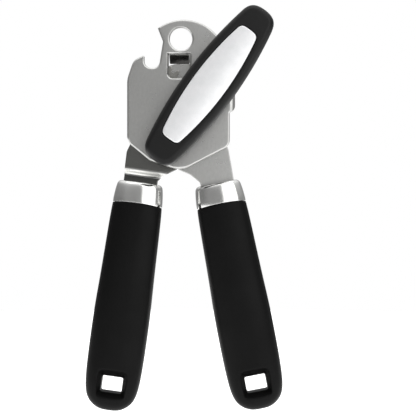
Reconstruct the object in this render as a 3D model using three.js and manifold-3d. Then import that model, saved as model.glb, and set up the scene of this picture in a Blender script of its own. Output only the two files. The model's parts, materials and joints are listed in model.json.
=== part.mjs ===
// Manual can opener: two steel arms on a rivet, a turning knob that drives the feed wheel,
// a cutting wheel geared to it, and a bottle-opener notch in the head.
// Millimetres. +X is to the right, +Z up, +Y away from the user, so the knob faces -Y.
// The origin is the centre of the hanging hole, on the front face of the head plate.

import * as THREE from 'three';
import { mergeVertices } from 'three/addons/utils/BufferGeometryUtils.js';
import Module from 'manifold-3d';

const wasm = await Module();
wasm.setup();

// ---------------------------------------------------------------- driving dimensions

// Sheet steel and the layers of the mechanism, counted backwards from the head's front face.
const headSheet = 2.0;
const armSheet = 2.0;
const gearWidth = 2.2;
const feedWidth = 2.4;
const cutterWidth = 1.5;
const sheetGap = 0.1; // between riveted sheets, and beside washers
const runGap = 0.3; // beside anything that turns
const seatGap = 0.3; // between moulded pieces and what they hold
const boreGap = 0.1; // round a journal

// Head plate.
const headLeft = -28.6;
const headRight = 25.8;
const crownRadius = 23.0;
const crown = [1.4, -12.7];
const hangRadius = 6.0;
const windowBox = { left: -6.5, right: 4.7, top: -7.8, bottom: -20.7, corner: 2.0 };
const flange = { top: -13.0, bottom: -38.8, outerBend: 3.0, corner: 2.4, reach: 7.0 };
const rimRest = { width: 10.2, bend: 1.8, droop: 26, reach: 9.3 };

// Drive: the knob's axis, the gears and the arm's pivot.
const drive = [15.0, -26.4];
const gearCentres = 17.5;
const driveTeeth = 11;
const cutterTeeth = 13;
const pressureAngle = 25;
const gearSlack = 0.5; // backlash on the pitch line
const lineTilt = 15; // rise of the line of centres, towards the cutter
const pivotDrop = 21.0; // pivot below the pitch point, square to that line
const armSwing = 18; // from shut to the open stop
const feedRadius = 8.0;
const feedTeeth = 32;
const cutterOverlap = 0.4; // of the cutting wheel over the feed wheel

// Shafts, bushes and rivets.
const shaftRadius = 4.0;
const shaftFlats = 6.4;
const bushWall = 0.9;
const bushFlange = 1.6;
const spindleRadius = 3.5;
const spindleFlats = 5.6;
const pivotRadius = 3.0;
const armRivets = [[-13.0, -52.0], [-7.0, -62.0]];
const armRivetRadius = 2.0;

// Knob.
const knobTilt = 36.6;
const knob = { halfLength: 48.1, halfWidth: 13.4, endHalfWidth: 9.3, endStart: 41.4, bluntness: 0.65 };
const knobBack = -9.0;
const knobFront = -22.0;
const knobRounding = 3.0;
const knobSkin = 3.0;
const knobHubRadius = 7.5;
const insert = { halfLength: 34.7, halfWidth: 8.8, endHalfWidth: 6.3, endStart: 29.6, bluntness: 0.78 };
const insertThickness = 1.5;
const insertProud = 0.6;

// Handles: each axis runs down from the middle of its ferrule's top.
const handles = {
  left: { top: [-21.8, -76.0], lean: 8.0 },
  right: { top: [19.2, -76.3], lean: -11.0 },
};
const handleLength = 123.0;
const handleThickness = 19.5;
const ferruleLength = 11.8;
const ferruleWall = 1.2;
const ferruleHalfWidth = 13.2;
const gripHalfWidth = 15.2;
const coreSection = [18.0, 10.0];
const coreToSlot = 5.9; // rubber left between a core and the mouth of its hanging slot
const neckHalfWidth = 9.05;
const tangHalfWidth = 6.0;
const tangLength = 58.0;
const hangSlot = { fromEnd: 14.5, width: 11.0, height: 8.6, web: 8.0, mouth: 17.2 };
const joggle = { top: 7.0, length: 3.6 };

// ---------------------------------------------------------------- derived places

const rad = THREE.MathUtils.degToRad;
const mouldSides = 28;
const roundSides = 24; // flats on a round piece: small enough to stay inside its running gap
const layers = {};
layers.headBack = headSheet;
layers.leftArm = layers.headBack + sheetGap;
layers.gear = layers.headBack + runGap;
layers.gearBack = layers.gear + gearWidth;
layers.rightArm = Math.max(layers.gearBack, layers.leftArm + armSheet) + runGap;
layers.rightArmBack = layers.rightArm + armSheet;
layers.feed = layers.rightArmBack + runGap;
layers.feedBack = layers.feed + feedWidth;
layers.cutter = layers.feedBack + runGap;
layers.cutterBack = layers.cutter + cutterWidth;
const handleMiddle = layers.rightArm + armSheet / 2;
const coreLength = handleLength - hangSlot.fromEnd - hangSlot.mouth / 2 - coreToSlot;

const toCutter = [-Math.cos(rad(lineTilt)), Math.sin(rad(lineTilt))];
const drivePitch = (gearCentres * driveTeeth) / (driveTeeth + cutterTeeth);
const cutterPitch = gearCentres - drivePitch;
const cutterRadius = gearCentres - feedRadius + cutterOverlap;
const pitchPoint = [drive[0] + drivePitch * toCutter[0], drive[1] + drivePitch * toCutter[1]];
const pivot = [
  pitchPoint[0] - pivotDrop * Math.sin(rad(lineTilt)),
  pitchPoint[1] - pivotDrop * Math.cos(rad(lineTilt)),
];
const cutterShut = [drive[0] + gearCentres * toCutter[0], drive[1] + gearCentres * toCutter[1]];
const cutter = turnAbout(pivot, cutterShut, armSwing);

// ---------------------------------------------------------------- helpers

// A point turned about another, anticlockwise seen from the front.
function turnAbout(centre, point, angle) {
  const spoke = new THREE.Vector2(...point).rotateAround(new THREE.Vector2(...centre), rad(angle));
  return [spoke.x, spoke.y];
}

// The point that lies `across` and `along` a handle's axis, in the opener's frame.
function onHandle(handle, across, along) {
  const lean = rad(handle.lean);
  return [
    handle.top[0] + across * Math.cos(lean) + along * Math.sin(lean),
    handle.top[1] - across * Math.sin(lean) + along * Math.cos(lean),
  ];
}

// Points of a circular arc, with a chord for each 15 degrees.
function arc(centre, radius, from, to) {
  const chords = Math.max(2, Math.ceil(Math.abs(to - from) / 15));
  const curve = new THREE.EllipseCurve(...centre, radius, radius, rad(from), rad(to), to < from);
  return curve.getPoints(chords);
}

function circle(centre, radius, sides = roundSides) {
  return Array.from({ length: sides }, (_, i) => {
    const angle = (2 * Math.PI * i) / sides;
    return new THREE.Vector2(centre[0] + radius * Math.cos(angle), centre[1] + radius * Math.sin(angle));
  });
}

// A closed outline of corners [x, z, radius], each rounded by a tangent arc,
// and of ready-made runs of points.
function outline(items) {
  const ends = (item, i) => (item[0].isVector2 ? item.at(i) : new THREE.Vector2(item[0], item[1]));
  const points = [];
  items.forEach((item, i) => {
    if (item[0].isVector2) {
      points.push(...item);
      return;
    }
    const corner = ends(item, 0);
    const radius = item[2] ?? 0;
    if (radius === 0) {
      points.push(corner);
      return;
    }
    const back = ends(items.at(i - 1), -1).clone().sub(corner).normalize();
    const ahead = ends(items[(i + 1) % items.length], 0).clone().sub(corner).normalize();
    const half = Math.acos(back.dot(ahead)) / 2;
    const centre = back.clone().add(ahead).normalize().multiplyScalar(radius / Math.sin(half)).add(corner);
    const start = back.clone().multiplyScalar(radius / Math.tan(half)).add(corner).sub(centre);
    const left = ahead.cross(back) > 0;
    const turn = THREE.MathUtils.radToDeg(Math.PI - 2 * half) * (left ? 1 : -1);
    const from = THREE.MathUtils.radToDeg(start.angle());
    points.push(...arc([centre.x, centre.y], radius, from, from + turn));
  });
  return points.filter((point, i) => point.distanceTo(points.at(i - 1)) > 0.01);
}

// The outline whose quarter runs from the middle of the right side to the middle of the top end.
function fourfold(quarter) {
  const flip = (points, x, z) => points.map((p) => new THREE.Vector2(p.x * x, p.y * z));
  const side = quarter.slice(0, -1);
  return [
    ...side,
    ...flip(quarter.slice(1), -1, 1).reverse(),
    ...flip(side, -1, -1),
    ...flip(quarter.slice(1), 1, -1).reverse(),
  ];
}

// A closed body joined up from a three.js geometry.
function solid(geometry) {
  geometry.deleteAttribute('normal');
  geometry.deleteAttribute('uv');
  const merged = mergeVertices(geometry);
  const corners = merged.index.array;
  const kept = [];
  for (let i = 0; i < corners.length; i += 3) {
    const [a, b, c] = corners.slice(i, i + 3);
    if (a !== b && b !== c && c !== a) kept.push(a, b, c);
  }
  return new wasm.Manifold(new wasm.Mesh({
    numProp: 3,
    vertProperties: new Float32Array(merged.attributes.position.array),
    triVerts: new Uint32Array(kept),
  }));
}

// An outline in X and Z, with holes, from y = front to y = back.
function slab(points, front, back, holes = []) {
  const shape = new THREE.Shape(points);
  shape.holes = holes.map((hole) => new THREE.Path(hole));
  const geometry = new THREE.ExtrudeGeometry(shape, { depth: back - front, bevelEnabled: false });
  return solid(geometry.rotateX(Math.PI / 2).translate(0, back, 0));
}

// The same, with its long edges rounded.
function roundedSlab(points, front, back, rounding) {
  const shape = new THREE.Shape(points);
  const geometry = new THREE.ExtrudeGeometry(shape, {
    depth: back - front - 2 * rounding,
    bevelThickness: rounding,
    bevelSize: rounding,
    bevelOffset: -rounding,
    bevelSegments: 3,
  });
  return solid(geometry.rotateX(Math.PI / 2).translate(0, back - rounding, 0));
}

// A body turned about a Y axis through `centre`; the profile is in radius and y.
function turned(profile, centre = [0, 0], segments = roundSides) {
  const points = profile.map(([radius, y]) => new THREE.Vector2(radius, y));
  const geometry = new THREE.LatheGeometry(points, segments);
  return solid(geometry.translate(centre[0], 0, centre[1]));
}

function disc(radius, front, back, centre) {
  return turned([[0, front], [radius, front], [radius, back], [0, back]], centre);
}

function ring(inner, outer, front, back, centre) {
  return turned([[inner, front], [outer, front], [outer, back], [inner, back], [inner, front]], centre);
}

// A section in Y and Z, drawn out along X between two places.
function bar(points, left, right, matrix = new THREE.Matrix4()) {
  const geometry = new THREE.ExtrudeGeometry(new THREE.Shape(points), {
    depth: right - left,
    bevelEnabled: false,
  });
  const upright = new THREE.Matrix4().set(0, 0, 1, left, 1, 0, 0, 0, 0, 1, 0, 0, 0, 0, 0, 1);
  return solid(geometry.applyMatrix4(upright).applyMatrix4(matrix));
}

// A round with two flats, as points.
function flatted(radius, flats, gap = 0) {
  const edge = THREE.MathUtils.radToDeg(Math.acos((flats / 2 + gap) / (radius + gap)));
  return outline([
    arc([0, 0], radius + gap, edge, 180 - edge),
    arc([0, 0], radius + gap, 180 + edge, 360 - edge),
  ]);
}

const group = new THREE.Group();
const looks = {
  satinSteel: new THREE.MeshStandardMaterial({ color: 0x93938f, metalness: 1, roughness: 0.35 }),
  polishedSteel: new THREE.MeshStandardMaterial({ color: 0xc9c9c7, metalness: 1, roughness: 0.15 }),
  toolSteel: new THREE.MeshStandardMaterial({ color: 0x7d7d7b, metalness: 1, roughness: 0.3 }),
  brushedInsert: new THREE.MeshStandardMaterial({ color: 0xdedfe0, metalness: 1, roughness: 0.4 }),
  blackRubber: new THREE.MeshStandardMaterial({ color: 0x161617, metalness: 0, roughness: 0.75 }),
  blackNylon: new THREE.MeshStandardMaterial({ color: 0x202022, metalness: 0, roughness: 0.55 }),
};

function addPiece(name, body, look, parent = group) {
  const { vertProperties, triVerts } = body.getMesh();
  const geometry = new THREE.BufferGeometry();
  geometry.setAttribute('position', new THREE.BufferAttribute(vertProperties, 3));
  geometry.setIndex(new THREE.BufferAttribute(triVerts, 1));
  geometry.computeVertexNormals();
  const mesh = new THREE.Mesh(geometry, looks[look]);
  mesh.name = name;
  parent.add(mesh);
}

// A group on a handle's or a rotor's axis, turned clockwise seen from the front.
function turnedGroup([x, z], y, angle) {
  const child = new THREE.Group();
  child.position.set(x, y, z);
  child.rotation.y = rad(angle);
  group.add(child);
  return child;
}

// ---------------------------------------------------------------- head plate

function headOutline() {
  const crownStart = THREE.MathUtils.radToDeg(Math.atan2(18.3, -13.6));
  return outline([
    [headLeft, -52.5, 4.0],
    [headLeft, -21.0, 14.0],
    [-25.2, -11.2, 6.0],
    [-19.4, -8.3, 0.5], // lower claw of the bottle-opener notch
    [-19.4, -15.3, 3.7],
    [-11.8, -15.3, 3.7],
    [-9.6, -1.3, 1.5],
    arc(crown, crownRadius, crownStart, 16), // upper claw, then the crown
    [headRight, -14.0, 3.0],
    [headRight, -56.6, 5.0],
    [0.1, -69.9, 14.0], // lowest point of the head
    [-16.6, -64.4, 4.0],
    [-26.9, -55.9, 4.0],
  ]);
}

function headFlange() {
  const { top, bottom, outerBend, corner, reach } = flange;
  const bendX = headRight - 0.1;
  const innerBend = outerBend - headSheet;
  const section = new THREE.Shape(outline([
    [headRight - 1.0, 0],
    arc([bendX, outerBend], outerBend, -90, 0),
    [bendX + outerBend, reach],
    [bendX + innerBend, reach],
    arc([bendX, outerBend], innerBend, 0, -90),
    [headRight - 1.0, headSheet],
  ]));
  const strip = new THREE.ExtrudeGeometry(section, { depth: top - bottom, bevelEnabled: false });
  const trim = outline([
    [headRight - 2.0, top],
    [headRight - 2.0, bottom],
    [bendX + outerBend, bottom, corner],
    [bendX + outerBend, top, corner],
  ]);
  return solid(strip.translate(0, 0, bottom)).intersect(slab(trim, -1, reach + 1));
}

// The tongue bent back from the top of the window, which rests on the can's rim.
function rimRestTongue() {
  const { width, bend, droop, reach } = rimRest;
  const { top, left, right } = windowBox;
  const middle = (left + right) / 2;
  const slope = Math.tan(rad(droop));
  const lift = headSheet / Math.cos(rad(droop));
  const tipY = reach;
  const tipZ = top - (tipY - bend) * slope;
  const section = outline([
    [0, top + bend],
    [0, top, bend - 0.05],
    [bend + 1.0, top - slope],
    [tipY, tipZ, 0.4],
    [tipY, tipZ + lift, 0.4],
    [headSheet, top + lift + (bend - headSheet) * slope],
    [headSheet, top + bend],
  ]);
  return bar(section, middle - width / 2, middle + width / 2);
}

function headPlate() {
  const { left, right, top, bottom, corner } = windowBox;
  const holes = [
    outline([[left, top, corner], [left, bottom, corner], [right, bottom, corner], [right, top, corner]]),
    circle(drive, shaftRadius + boreGap + bushWall + boreGap),
    circle(pivot, pivotRadius + boreGap),
    ...armRivets.map((place) => circle(place, armRivetRadius + boreGap)),
  ];
  const hangHole = disc(hangRadius, -1, rimRest.reach, [0, 0]);
  const plate = slab(headOutline(), 0, headSheet, holes);
  return plate.add(headFlange()).add(rimRestTongue()).subtract(hangHole);
}

// ---------------------------------------------------------------- arms

// The end of an arm inside its handle, as corners from the right of the neck round to its left.
function tang(handle, gap = 0) {
  const neck = neckHalfWidth + gap;
  const width = tangHalfWidth + gap;
  const end = -tangLength - gap;
  const right = [[neck, 2.0], [neck, -3.0, 1.0], [width, -8.0, 1.0], [width, end, 3.0]];
  const left = right.map(([across, ...rest]) => [-across, ...rest]).reverse();
  return [...right, ...left].map(([across, along, radius]) => [...onHandle(handle, across, along), radius]);
}

function leftArm() {
  const blank = outline([
    arc(pivot, 7.6, -10, 110),
    [-18.0, -44.5, 6.0],
    [-25.3, -52.0, 4.0],
    [-29.0, -59.5, 5.0],
    [-29.9, -67.0, 3.0],
    ...tang(handles.left).reverse(),
    [-10.0, -72.8, 1.0],
    [-2.4, -69.2, 1.0],
    [4.0, -60.0, 6.0],
  ]);
  const holes = [
    circle(pivot, pivotRadius + boreGap),
    ...armRivets.map((place) => circle(place, armRivetRadius + boreGap)),
  ];
  const back = layers.rightArmBack + 1;
  const bend = 1.6;
  const lag = 0.35; // keeps the wall's thickness through the joggle
  const low = joggle.top - joggle.length;
  const section = outline([
    [layers.leftArm, 60],
    [layers.leftArm, joggle.top - lag, bend],
    [layers.rightArm, low - lag, bend],
    [layers.rightArm, -tangLength - 5],
    [layers.rightArmBack, -tangLength - 5],
    [layers.rightArmBack, low + lag, bend],
    [layers.leftArm + armSheet, joggle.top + lag, bend],
    [layers.leftArm + armSheet, 60],
  ]);
  const { top, lean } = handles.left;
  const frame = new THREE.Matrix4().makeRotationY(rad(lean)).setPosition(top[0], 0, top[1]);
  return slab(blank, 0, back, holes).intersect(bar(section, -40, 60, frame));
}

function rightArm() {
  const crest = pivotDrop + 11.2; // radius of the top edge about the pivot
  const blank = outline([
    arc(pivot, crest, 80, 108),
    [-17.0, -19.0, 4.0],
    [-20.0, -26.0, 5.0],
    [-8.5, -42.0, 8.0],
    [-7.5, -50.0, 6.0],
    [-2.2, -68.9, 2.0],
    [4.8, -71.9, 4.0],
    ...tang(handles.right).reverse(),
    [26.6, -66.0, 5.0],
    [25.0, -57.5, 5.0],
    [17.0, -47.0, 6.0],
    [11.5, -40.5, 3.0],
    [11.0, -34.5, 2.0],
  ]);
  const holes = [
    circle(pivot, pivotRadius + boreGap),
    circle(cutter, spindleRadius + boreGap + bushWall + boreGap),
  ];
  return slab(blank, layers.rightArm, layers.rightArmBack, holes).subtract(shaftRelief());
}

// The room that the drive shaft needs as the arm swings, open to the right.
function shaftRelief() {
  const reach = Math.hypot(drive[0] - pivot[0], drive[1] - pivot[1]);
  const width = shaftRadius + 2 * runGap;
  const shut = turnAbout(pivot, drive, armSwing);
  const bearing = THREE.MathUtils.radToDeg(Math.atan2(shut[1] - pivot[1], shut[0] - pivot[0]));
  const room = outline([
    arc(pivot, reach - width, bearing - armSwing - 40, bearing),
    arc(shut, width, bearing + 180, bearing).slice(1, -1),
    arc(pivot, reach + width, bearing, bearing - armSwing - 40),
  ]);
  return slab(room, layers.rightArm - 1, layers.rightArmBack + 1);
}

// ---------------------------------------------------------------- gears and wheels

// Half the angle that an involute tooth takes up at a radius.
function toothHalfAngle(radius, pitch, teeth) {
  const involute = (angle) => Math.tan(angle) - angle;
  const base = pitch * Math.cos(rad(pressureAngle));
  const there = radius > base ? Math.acos(base / radius) : 0;
  const atPitch = Math.PI / (2 * teeth) - gearSlack / (4 * pitch);
  return atPitch + involute(rad(pressureAngle)) - involute(there);
}

// A gear's outline about the origin, with a tooth at the angle `phase` in degrees.
function gearOutline(pitch, teeth, phase) {
  const module = (2 * pitch) / teeth;
  const root = pitch - 1.15 * module;
  const tip = pitch + 0.9 * module;
  const radii = [root, pitch - 0.4 * module, pitch + 0.3 * module, tip];
  const points = [];
  for (let tooth = 0; tooth < teeth; tooth += 1) {
    const middle = rad(phase) + (2 * Math.PI * tooth) / teeth;
    const flank = radii.map((radius) => [radius, toothHalfAngle(radius, pitch, teeth)]);
    const rising = flank.map(([radius, half]) => [radius, middle - half]);
    const falling = flank.map(([radius, half]) => [radius, middle + half]).reverse();
    for (const [radius, angle] of [...rising, ...falling]) {
      points.push(new THREE.Vector2(radius * Math.cos(angle), radius * Math.sin(angle)));
    }
  }
  return points;
}

function feedOutline() {
  const depth = 0.7;
  return Array.from({ length: 2 * feedTeeth }, (_, i) => {
    const radius = feedRadius - (i % 2) * depth;
    const angle = (Math.PI * i) / feedTeeth;
    return new THREE.Vector2(radius * Math.cos(angle), radius * Math.sin(angle));
  });
}

function cutterDisc() {
  const bore = spindleRadius + boreGap;
  const { cutter: front, cutterBack: back } = layers;
  const profile = [
    [bore, front], [cutterRadius - 1.6, front], [cutterRadius, front + 0.15], [cutterRadius - 0.1, front + 0.35],
    [cutterRadius - 3.0, back], [bore, back], [bore, front],
  ];
  return turned(profile, [0, 0], 2 * roundSides);
}

// ---------------------------------------------------------------- knob

// A long rounded lens: gently bowed sides that run into blunt round ends.
function lens({ halfLength, halfWidth, endHalfWidth, endStart, bluntness }, inset = 0) {
  const bow = halfWidth - endHalfWidth;
  const sideRadius = (endStart ** 2 + bow ** 2) / (2 * bow);
  const slant = Math.asin(endStart / sideRadius);
  const width = endHalfWidth - inset * Math.cos(slant);
  const height = endStart - inset * Math.sin(slant);
  const end = halfLength - inset;
  const side = arc([halfWidth - sideRadius, 0], sideRadius - inset, 0, THREE.MathUtils.radToDeg(slant));
  const reach = bluntness * (end - height);
  const tip = new THREE.CubicBezierCurve(
    new THREE.Vector2(width, height),
    new THREE.Vector2(width - reach * Math.sin(slant), height + reach * Math.cos(slant)),
    new THREE.Vector2(bluntness * width, end),
    new THREE.Vector2(0, end),
  );
  return fourfold([...side, ...tip.getPoints(6).slice(1)]);
}

const insertBack = knobFront - insertProud + insertThickness;
const knobWall = insertBack + 0.9; // front wall of the soft skin, seen from inside

function knobGrip() {
  const skin = roundedSlab(lens(knob), knobFront, knobBack, knobRounding);
  const pocket = slab(lens(knob, knobSkin), knobWall, knobBack + 1);
  const frontWindow = slab(lens(insert, -seatGap), knobFront - 1, knobWall + 1);
  return skin.subtract(pocket).subtract(frontWindow);
}

function knobBody() {
  const core = slab(lens(knob, knobSkin + seatGap), knobWall + seatGap, knobBack - 0.2);
  const pad = slab(lens(insert, 0.6), insertBack + sheetGap, knobWall + 1);
  const hub = disc(knobHubRadius, knobBack - 1, layers.washer - sheetGap, [0, 0]);
  const shaftHole = slab(flatted(shaftRadius, shaftFlats, boreGap), layers.shaftFront - 0.2, 5);
  const screwHole = disc(screw.shank + boreGap, knobFront - 2, 5, [0, 0]);
  const headSeat = disc(screw.head + seatGap, knobFront - 2, screw.seat, [0, 0]);
  return core.add(pad).add(hub).subtract(shaftHole).subtract(screwHole).subtract(headSeat);
}

const screw = { head: 3.4, headHeight: 2.0, shank: 1.6, length: 14.0 };
layers.bushFront = -1.0;
layers.washer = layers.bushFront - 0.65;
screw.seat = insertBack + sheetGap + screw.headHeight + 0.6;
layers.shaftFront = screw.seat + 1.6;
layers.shaftHead = layers.feedBack + sheetGap + 1.0 + sheetGap;

// A round screw head with a cross recess, and its shank.
function knobScrew() {
  const top = screw.seat - sheetGap - screw.headHeight;
  const body = turned([
    [0, top],
    [screw.head - 0.8, top],
    [screw.head, top + 0.8],
    [screw.head, screw.seat - sheetGap],
    [screw.shank, screw.seat - sheetGap],
    [screw.shank, screw.seat + screw.length - 0.6],
    [0.9, screw.seat + screw.length],
    [0, screw.seat + screw.length],
  ], [0, 0]);
  const arm = [[-2.0, -0.4], [2.0, -0.4], [2.0, 0.4], [-2.0, 0.4]];
  const level = slab(outline(arm), top - 1, top + 1.1);
  const upright = slab(outline(arm.map(([x, z]) => [-z, x])), top - 1, top + 1.1);
  return body.subtract(level).subtract(upright);
}

function driveShaft() {
  const tail = layers.shaftHead + 1.5;
  const round = turned([
    [0, layers.shaftFront],
    [shaftRadius, layers.shaftFront],
    [shaftRadius, layers.shaftHead],
    [shaftRadius + 1.0, layers.shaftHead],
    [shaftRadius + 0.6, tail],
    [0, tail],
  ]);
  const flats = slab(flatted(shaftRadius, shaftFlats), layers.shaftFront - 1, layers.shaftHead);
  const journal = disc(shaftRadius, layers.bushFront - 0.5, layers.gear - 0.05, [0, 0]);
  const tailEnd = disc(shaftRadius + 2, layers.shaftHead, tail + 1, [0, 0]);
  const bore = disc(screw.shank + boreGap, layers.shaftFront - 1, screw.seat + screw.length + 0.3, [0, 0]);
  return round.intersect(flats.add(journal).add(tailEnd)).subtract(bore);
}

// A thin spring ring with three waves, between the knob's hub and the bush.
function waveWasher() {
  const middle = (layers.bushFront + layers.washer) / 2;
  const half = 0.12;
  const inner = shaftRadius + runGap;
  const outer = shaftRadius + 2.2;
  const profile = [[inner, -half], [outer, -half], [outer, half], [inner, half], [inner, -half]];
  const points = profile.map(([radius, y]) => new THREE.Vector2(radius, y + middle));
  const geometry = new THREE.LatheGeometry(points, roundSides);
  const place = geometry.attributes.position;
  for (let i = 0; i < place.count; i += 1) {
    const angle = Math.atan2(place.getZ(i), place.getX(i));
    place.setY(i, place.getY(i) + 0.12 * Math.cos(3 * angle));
  }
  return solid(geometry);
}

// ---------------------------------------------------------------- handles

// A moulding about the handle's axis, flattened front to back and fuller at its corners.
// The profile gives half widths and heights, from the bottom up.
function moulding(profile, thickness, width) {
  const points = profile.map(([half, along]) => new THREE.Vector2(half, along));
  const geometry = new THREE.LatheGeometry(points, mouldSides).rotateX(Math.PI / 2);
  const place = geometry.attributes.position;
  const fuller = (value) => Math.sign(value) * Math.abs(value) ** 0.84;
  for (let i = 0; i < place.count; i += 1) {
    const [x, y] = [place.getX(i), place.getY(i)];
    const radius = Math.hypot(x, y);
    if (radius > 1e-6) {
      place.setXY(i, radius * fuller(x / radius), ((radius * thickness) / width) * fuller(y / radius));
    }
  }
  return solid(geometry);
}

function ferruleForm(wall, bottom) {
  const half = ferruleHalfWidth - wall;
  const top = -wall;
  return moulding([
    [0, bottom],
    [half, bottom],
    [half - 0.2, -8.0],
    [half - 1.0, top - 3.0],
    [half - 2.2, top - 0.9],
    [half - 4.2, top],
    [0, top],
  ], handleThickness - 2.2 - 2 * wall, 2 * half);
}

function ferrule() {
  const neck = [neckHalfWidth + seatGap, armSheet / 2 + seatGap];
  const shell = ferruleForm(0, -ferruleLength).subtract(ferruleForm(ferruleWall, -ferruleLength - 1));
  const slot = outline([[-neck[0], 1], [-neck[0], -6], [neck[0], -6], [neck[0], 1]]);
  return shell.subtract(slab(slot, -neck[1], neck[1]));
}

function coreBar(gap) {
  const [width, thickness] = coreSection.map((size) => size / 2 + gap);
  const end = -coreLength - gap;
  const top = 2.0 - ferruleLength;
  const face = outline([[-width, top], [-width, end, 3.0 + gap], [width, end, 3.0 + gap], [width, top]]);
  return slab(face, -thickness, thickness);
}

function core(handle) {
  const plug = ferruleForm(ferruleWall + seatGap, -ferruleLength + 0.2);
  const lean = rad(handle.lean);
  const [x, z] = handle.top;
  const local = tang(handle, seatGap).map(([px, pz, radius]) => [
    (px - x) * Math.cos(lean) - (pz - z) * Math.sin(lean),
    (px - x) * Math.sin(lean) + (pz - z) * Math.cos(lean),
    radius,
  ]);
  const half = armSheet / 2 + seatGap;
  const tangSlot = slab(outline(local), -half, half);
  return plug.add(coreBar(0)).subtract(tangSlot);
}

// The hanging slot: a rectangular hole that flares to a square mouth on both faces.
function slotCutter() {
  const { fromEnd, width, height, web, mouth } = hangSlot;
  const centre = fromEnd - handleLength;
  const hole = outline([
    [-width / 2, centre - height / 2, 1.0], [width / 2, centre - height / 2, 1.0],
    [width / 2, centre + height / 2, 1.0], [-width / 2, centre + height / 2, 1.0],
  ]);
  const depth = handleThickness / 2 - web / 2 + 1.5;
  const flare = (facing) => {
    const geometry = new THREE.CylinderGeometry(Math.SQRT1_2, Math.SQRT1_2, depth, 4, 1).rotateY(Math.PI / 4);
    const place = geometry.attributes.position;
    for (let i = 0; i < place.count; i += 1) {
      const outer = place.getY(i) * facing > 0;
      place.setX(i, place.getX(i) * (outer ? mouth + 2 : width - 0.4));
      place.setZ(i, place.getZ(i) * (outer ? mouth + 2 : height - 0.4));
    }
    return solid(geometry.translate(0, (facing * (web + depth)) / 2, centre));
  };
  const through = slab(hole, -handleThickness, handleThickness);
  return through.add(flare(1)).add(flare(-1));
}

function grip() {
  const top = -ferruleLength - 0.2;
  const tip = -handleLength;
  const wide = gripHalfWidth;
  const body = moulding([
    [0, tip],
    [0.4 * wide, tip + 0.7],
    [0.62 * wide, tip + 2.6],
    [0.8 * wide, tip + 5.6],
    [0.91 * wide, tip + 10.0],
    [0.97 * wide, tip + 17.0],
    [wide, tip + 30.0],
    [wide, tip + 52.0],
    [wide - 0.7, tip + 74.0],
    [wide - 1.4, top - 10.0],
    [wide - 1.6, top - 1.0],
    [wide - 2.1, top],
    [0, top],
  ], handleThickness, 2 * wide);
  return body.subtract(coreBar(seatGap)).subtract(slotCutter());
}

// ---------------------------------------------------------------- assembly

function fixedPieces() {
  addPiece('front_plate', headPlate(), 'satinSteel');
  addPiece('left_arm', leftArm(), 'satinSteel');
  const bore = shaftRadius + boreGap;
  const bush = ring(bore, bore + bushWall, layers.bushFront, headSheet, drive)
    .add(ring(bore, bore + bushWall + bushFlange, layers.bushFront, -sheetGap / 2, drive));
  addPiece('drive_bush', bush, 'toolSteel');
  armRivets.forEach((place, i) => {
    const back = layers.leftArm + armSheet;
    const rivet = turned([
      [0, -0.9], [armRivetRadius, -0.9], [armRivetRadius + 1.3, -sheetGap / 2], [armRivetRadius, -sheetGap / 2],
      [armRivetRadius, back + sheetGap / 2], [armRivetRadius + 1.0, back + sheetGap / 2],
      [armRivetRadius + 0.8, back + 0.3], [0, back + 0.3],
    ], place);
    addPiece(`arm_rivet_${i + 1}`, rivet, 'polishedSteel');
  });
  const spacer = [layers.leftArm + armSheet + sheetGap, layers.rightArm - sheetGap];
  addPiece('pivot_spacer', ring(pivotRadius + boreGap, pivotRadius + 3.4, ...spacer, pivot), 'toolSteel');
  const washer = layers.rightArmBack + sheetGap;
  addPiece('pivot_washer', ring(pivotRadius + boreGap, pivotRadius + 3.6, washer, washer + 0.8, pivot), 'polishedSteel');
  addPiece('pivot_rivet', pivotRivet(washer + 0.8 + sheetGap / 2), 'polishedSteel');
}

function pivotRivet(rearSeat) {
  const face = pivotRadius + 2.2;
  return turned([
    [0, -1.5], [face - 2.0, -1.3], [face - 0.4, -0.7], [face, -sheetGap / 2], [pivotRadius, -sheetGap / 2],
    [pivotRadius, rearSeat], [face - 0.2, rearSeat], [face - 0.8, rearSeat + 1.0],
    [face - 2.6, rearSeat + 1.6], [0, rearSeat + 1.7],
  ], pivot);
}

function knobPieces() {
  const rotor = turnedGroup(drive, 0, knobTilt);
  const gearPhase = 180 - lineTilt + knobTilt;
  const shaftHole = flatted(shaftRadius, shaftFlats, boreGap);
  const gearPoints = gearOutline(drivePitch, driveTeeth, gearPhase);
  addPiece('knob_body', knobBody(), 'blackNylon', rotor);
  addPiece('knob_grip', knobGrip(), 'blackRubber', rotor);
  const plate = slab(lens(insert), knobFront - insertProud, insertBack);
  addPiece('knob_insert', plate, 'brushedInsert', rotor);
  addPiece('knob_screw', knobScrew(), 'polishedSteel', rotor);
  addPiece('drive_shaft', driveShaft(), 'polishedSteel', rotor);
  addPiece('wave_washer', waveWasher(), 'toolSteel', rotor);
  addPiece('drive_gear', slab(gearPoints, layers.gear, layers.gearBack, [shaftHole]), 'toolSteel', rotor);
  addPiece('feed_wheel', slab(feedOutline(), layers.feed, layers.feedBack, [shaftHole]), 'toolSteel', rotor);
  const washer = layers.feedBack + sheetGap;
  const feedWasher = slab(circle([0, 0], shaftRadius + 2.2), washer, washer + 1.0, [shaftHole]);
  addPiece('feed_washer', feedWasher, 'polishedSteel', rotor);
}

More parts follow.
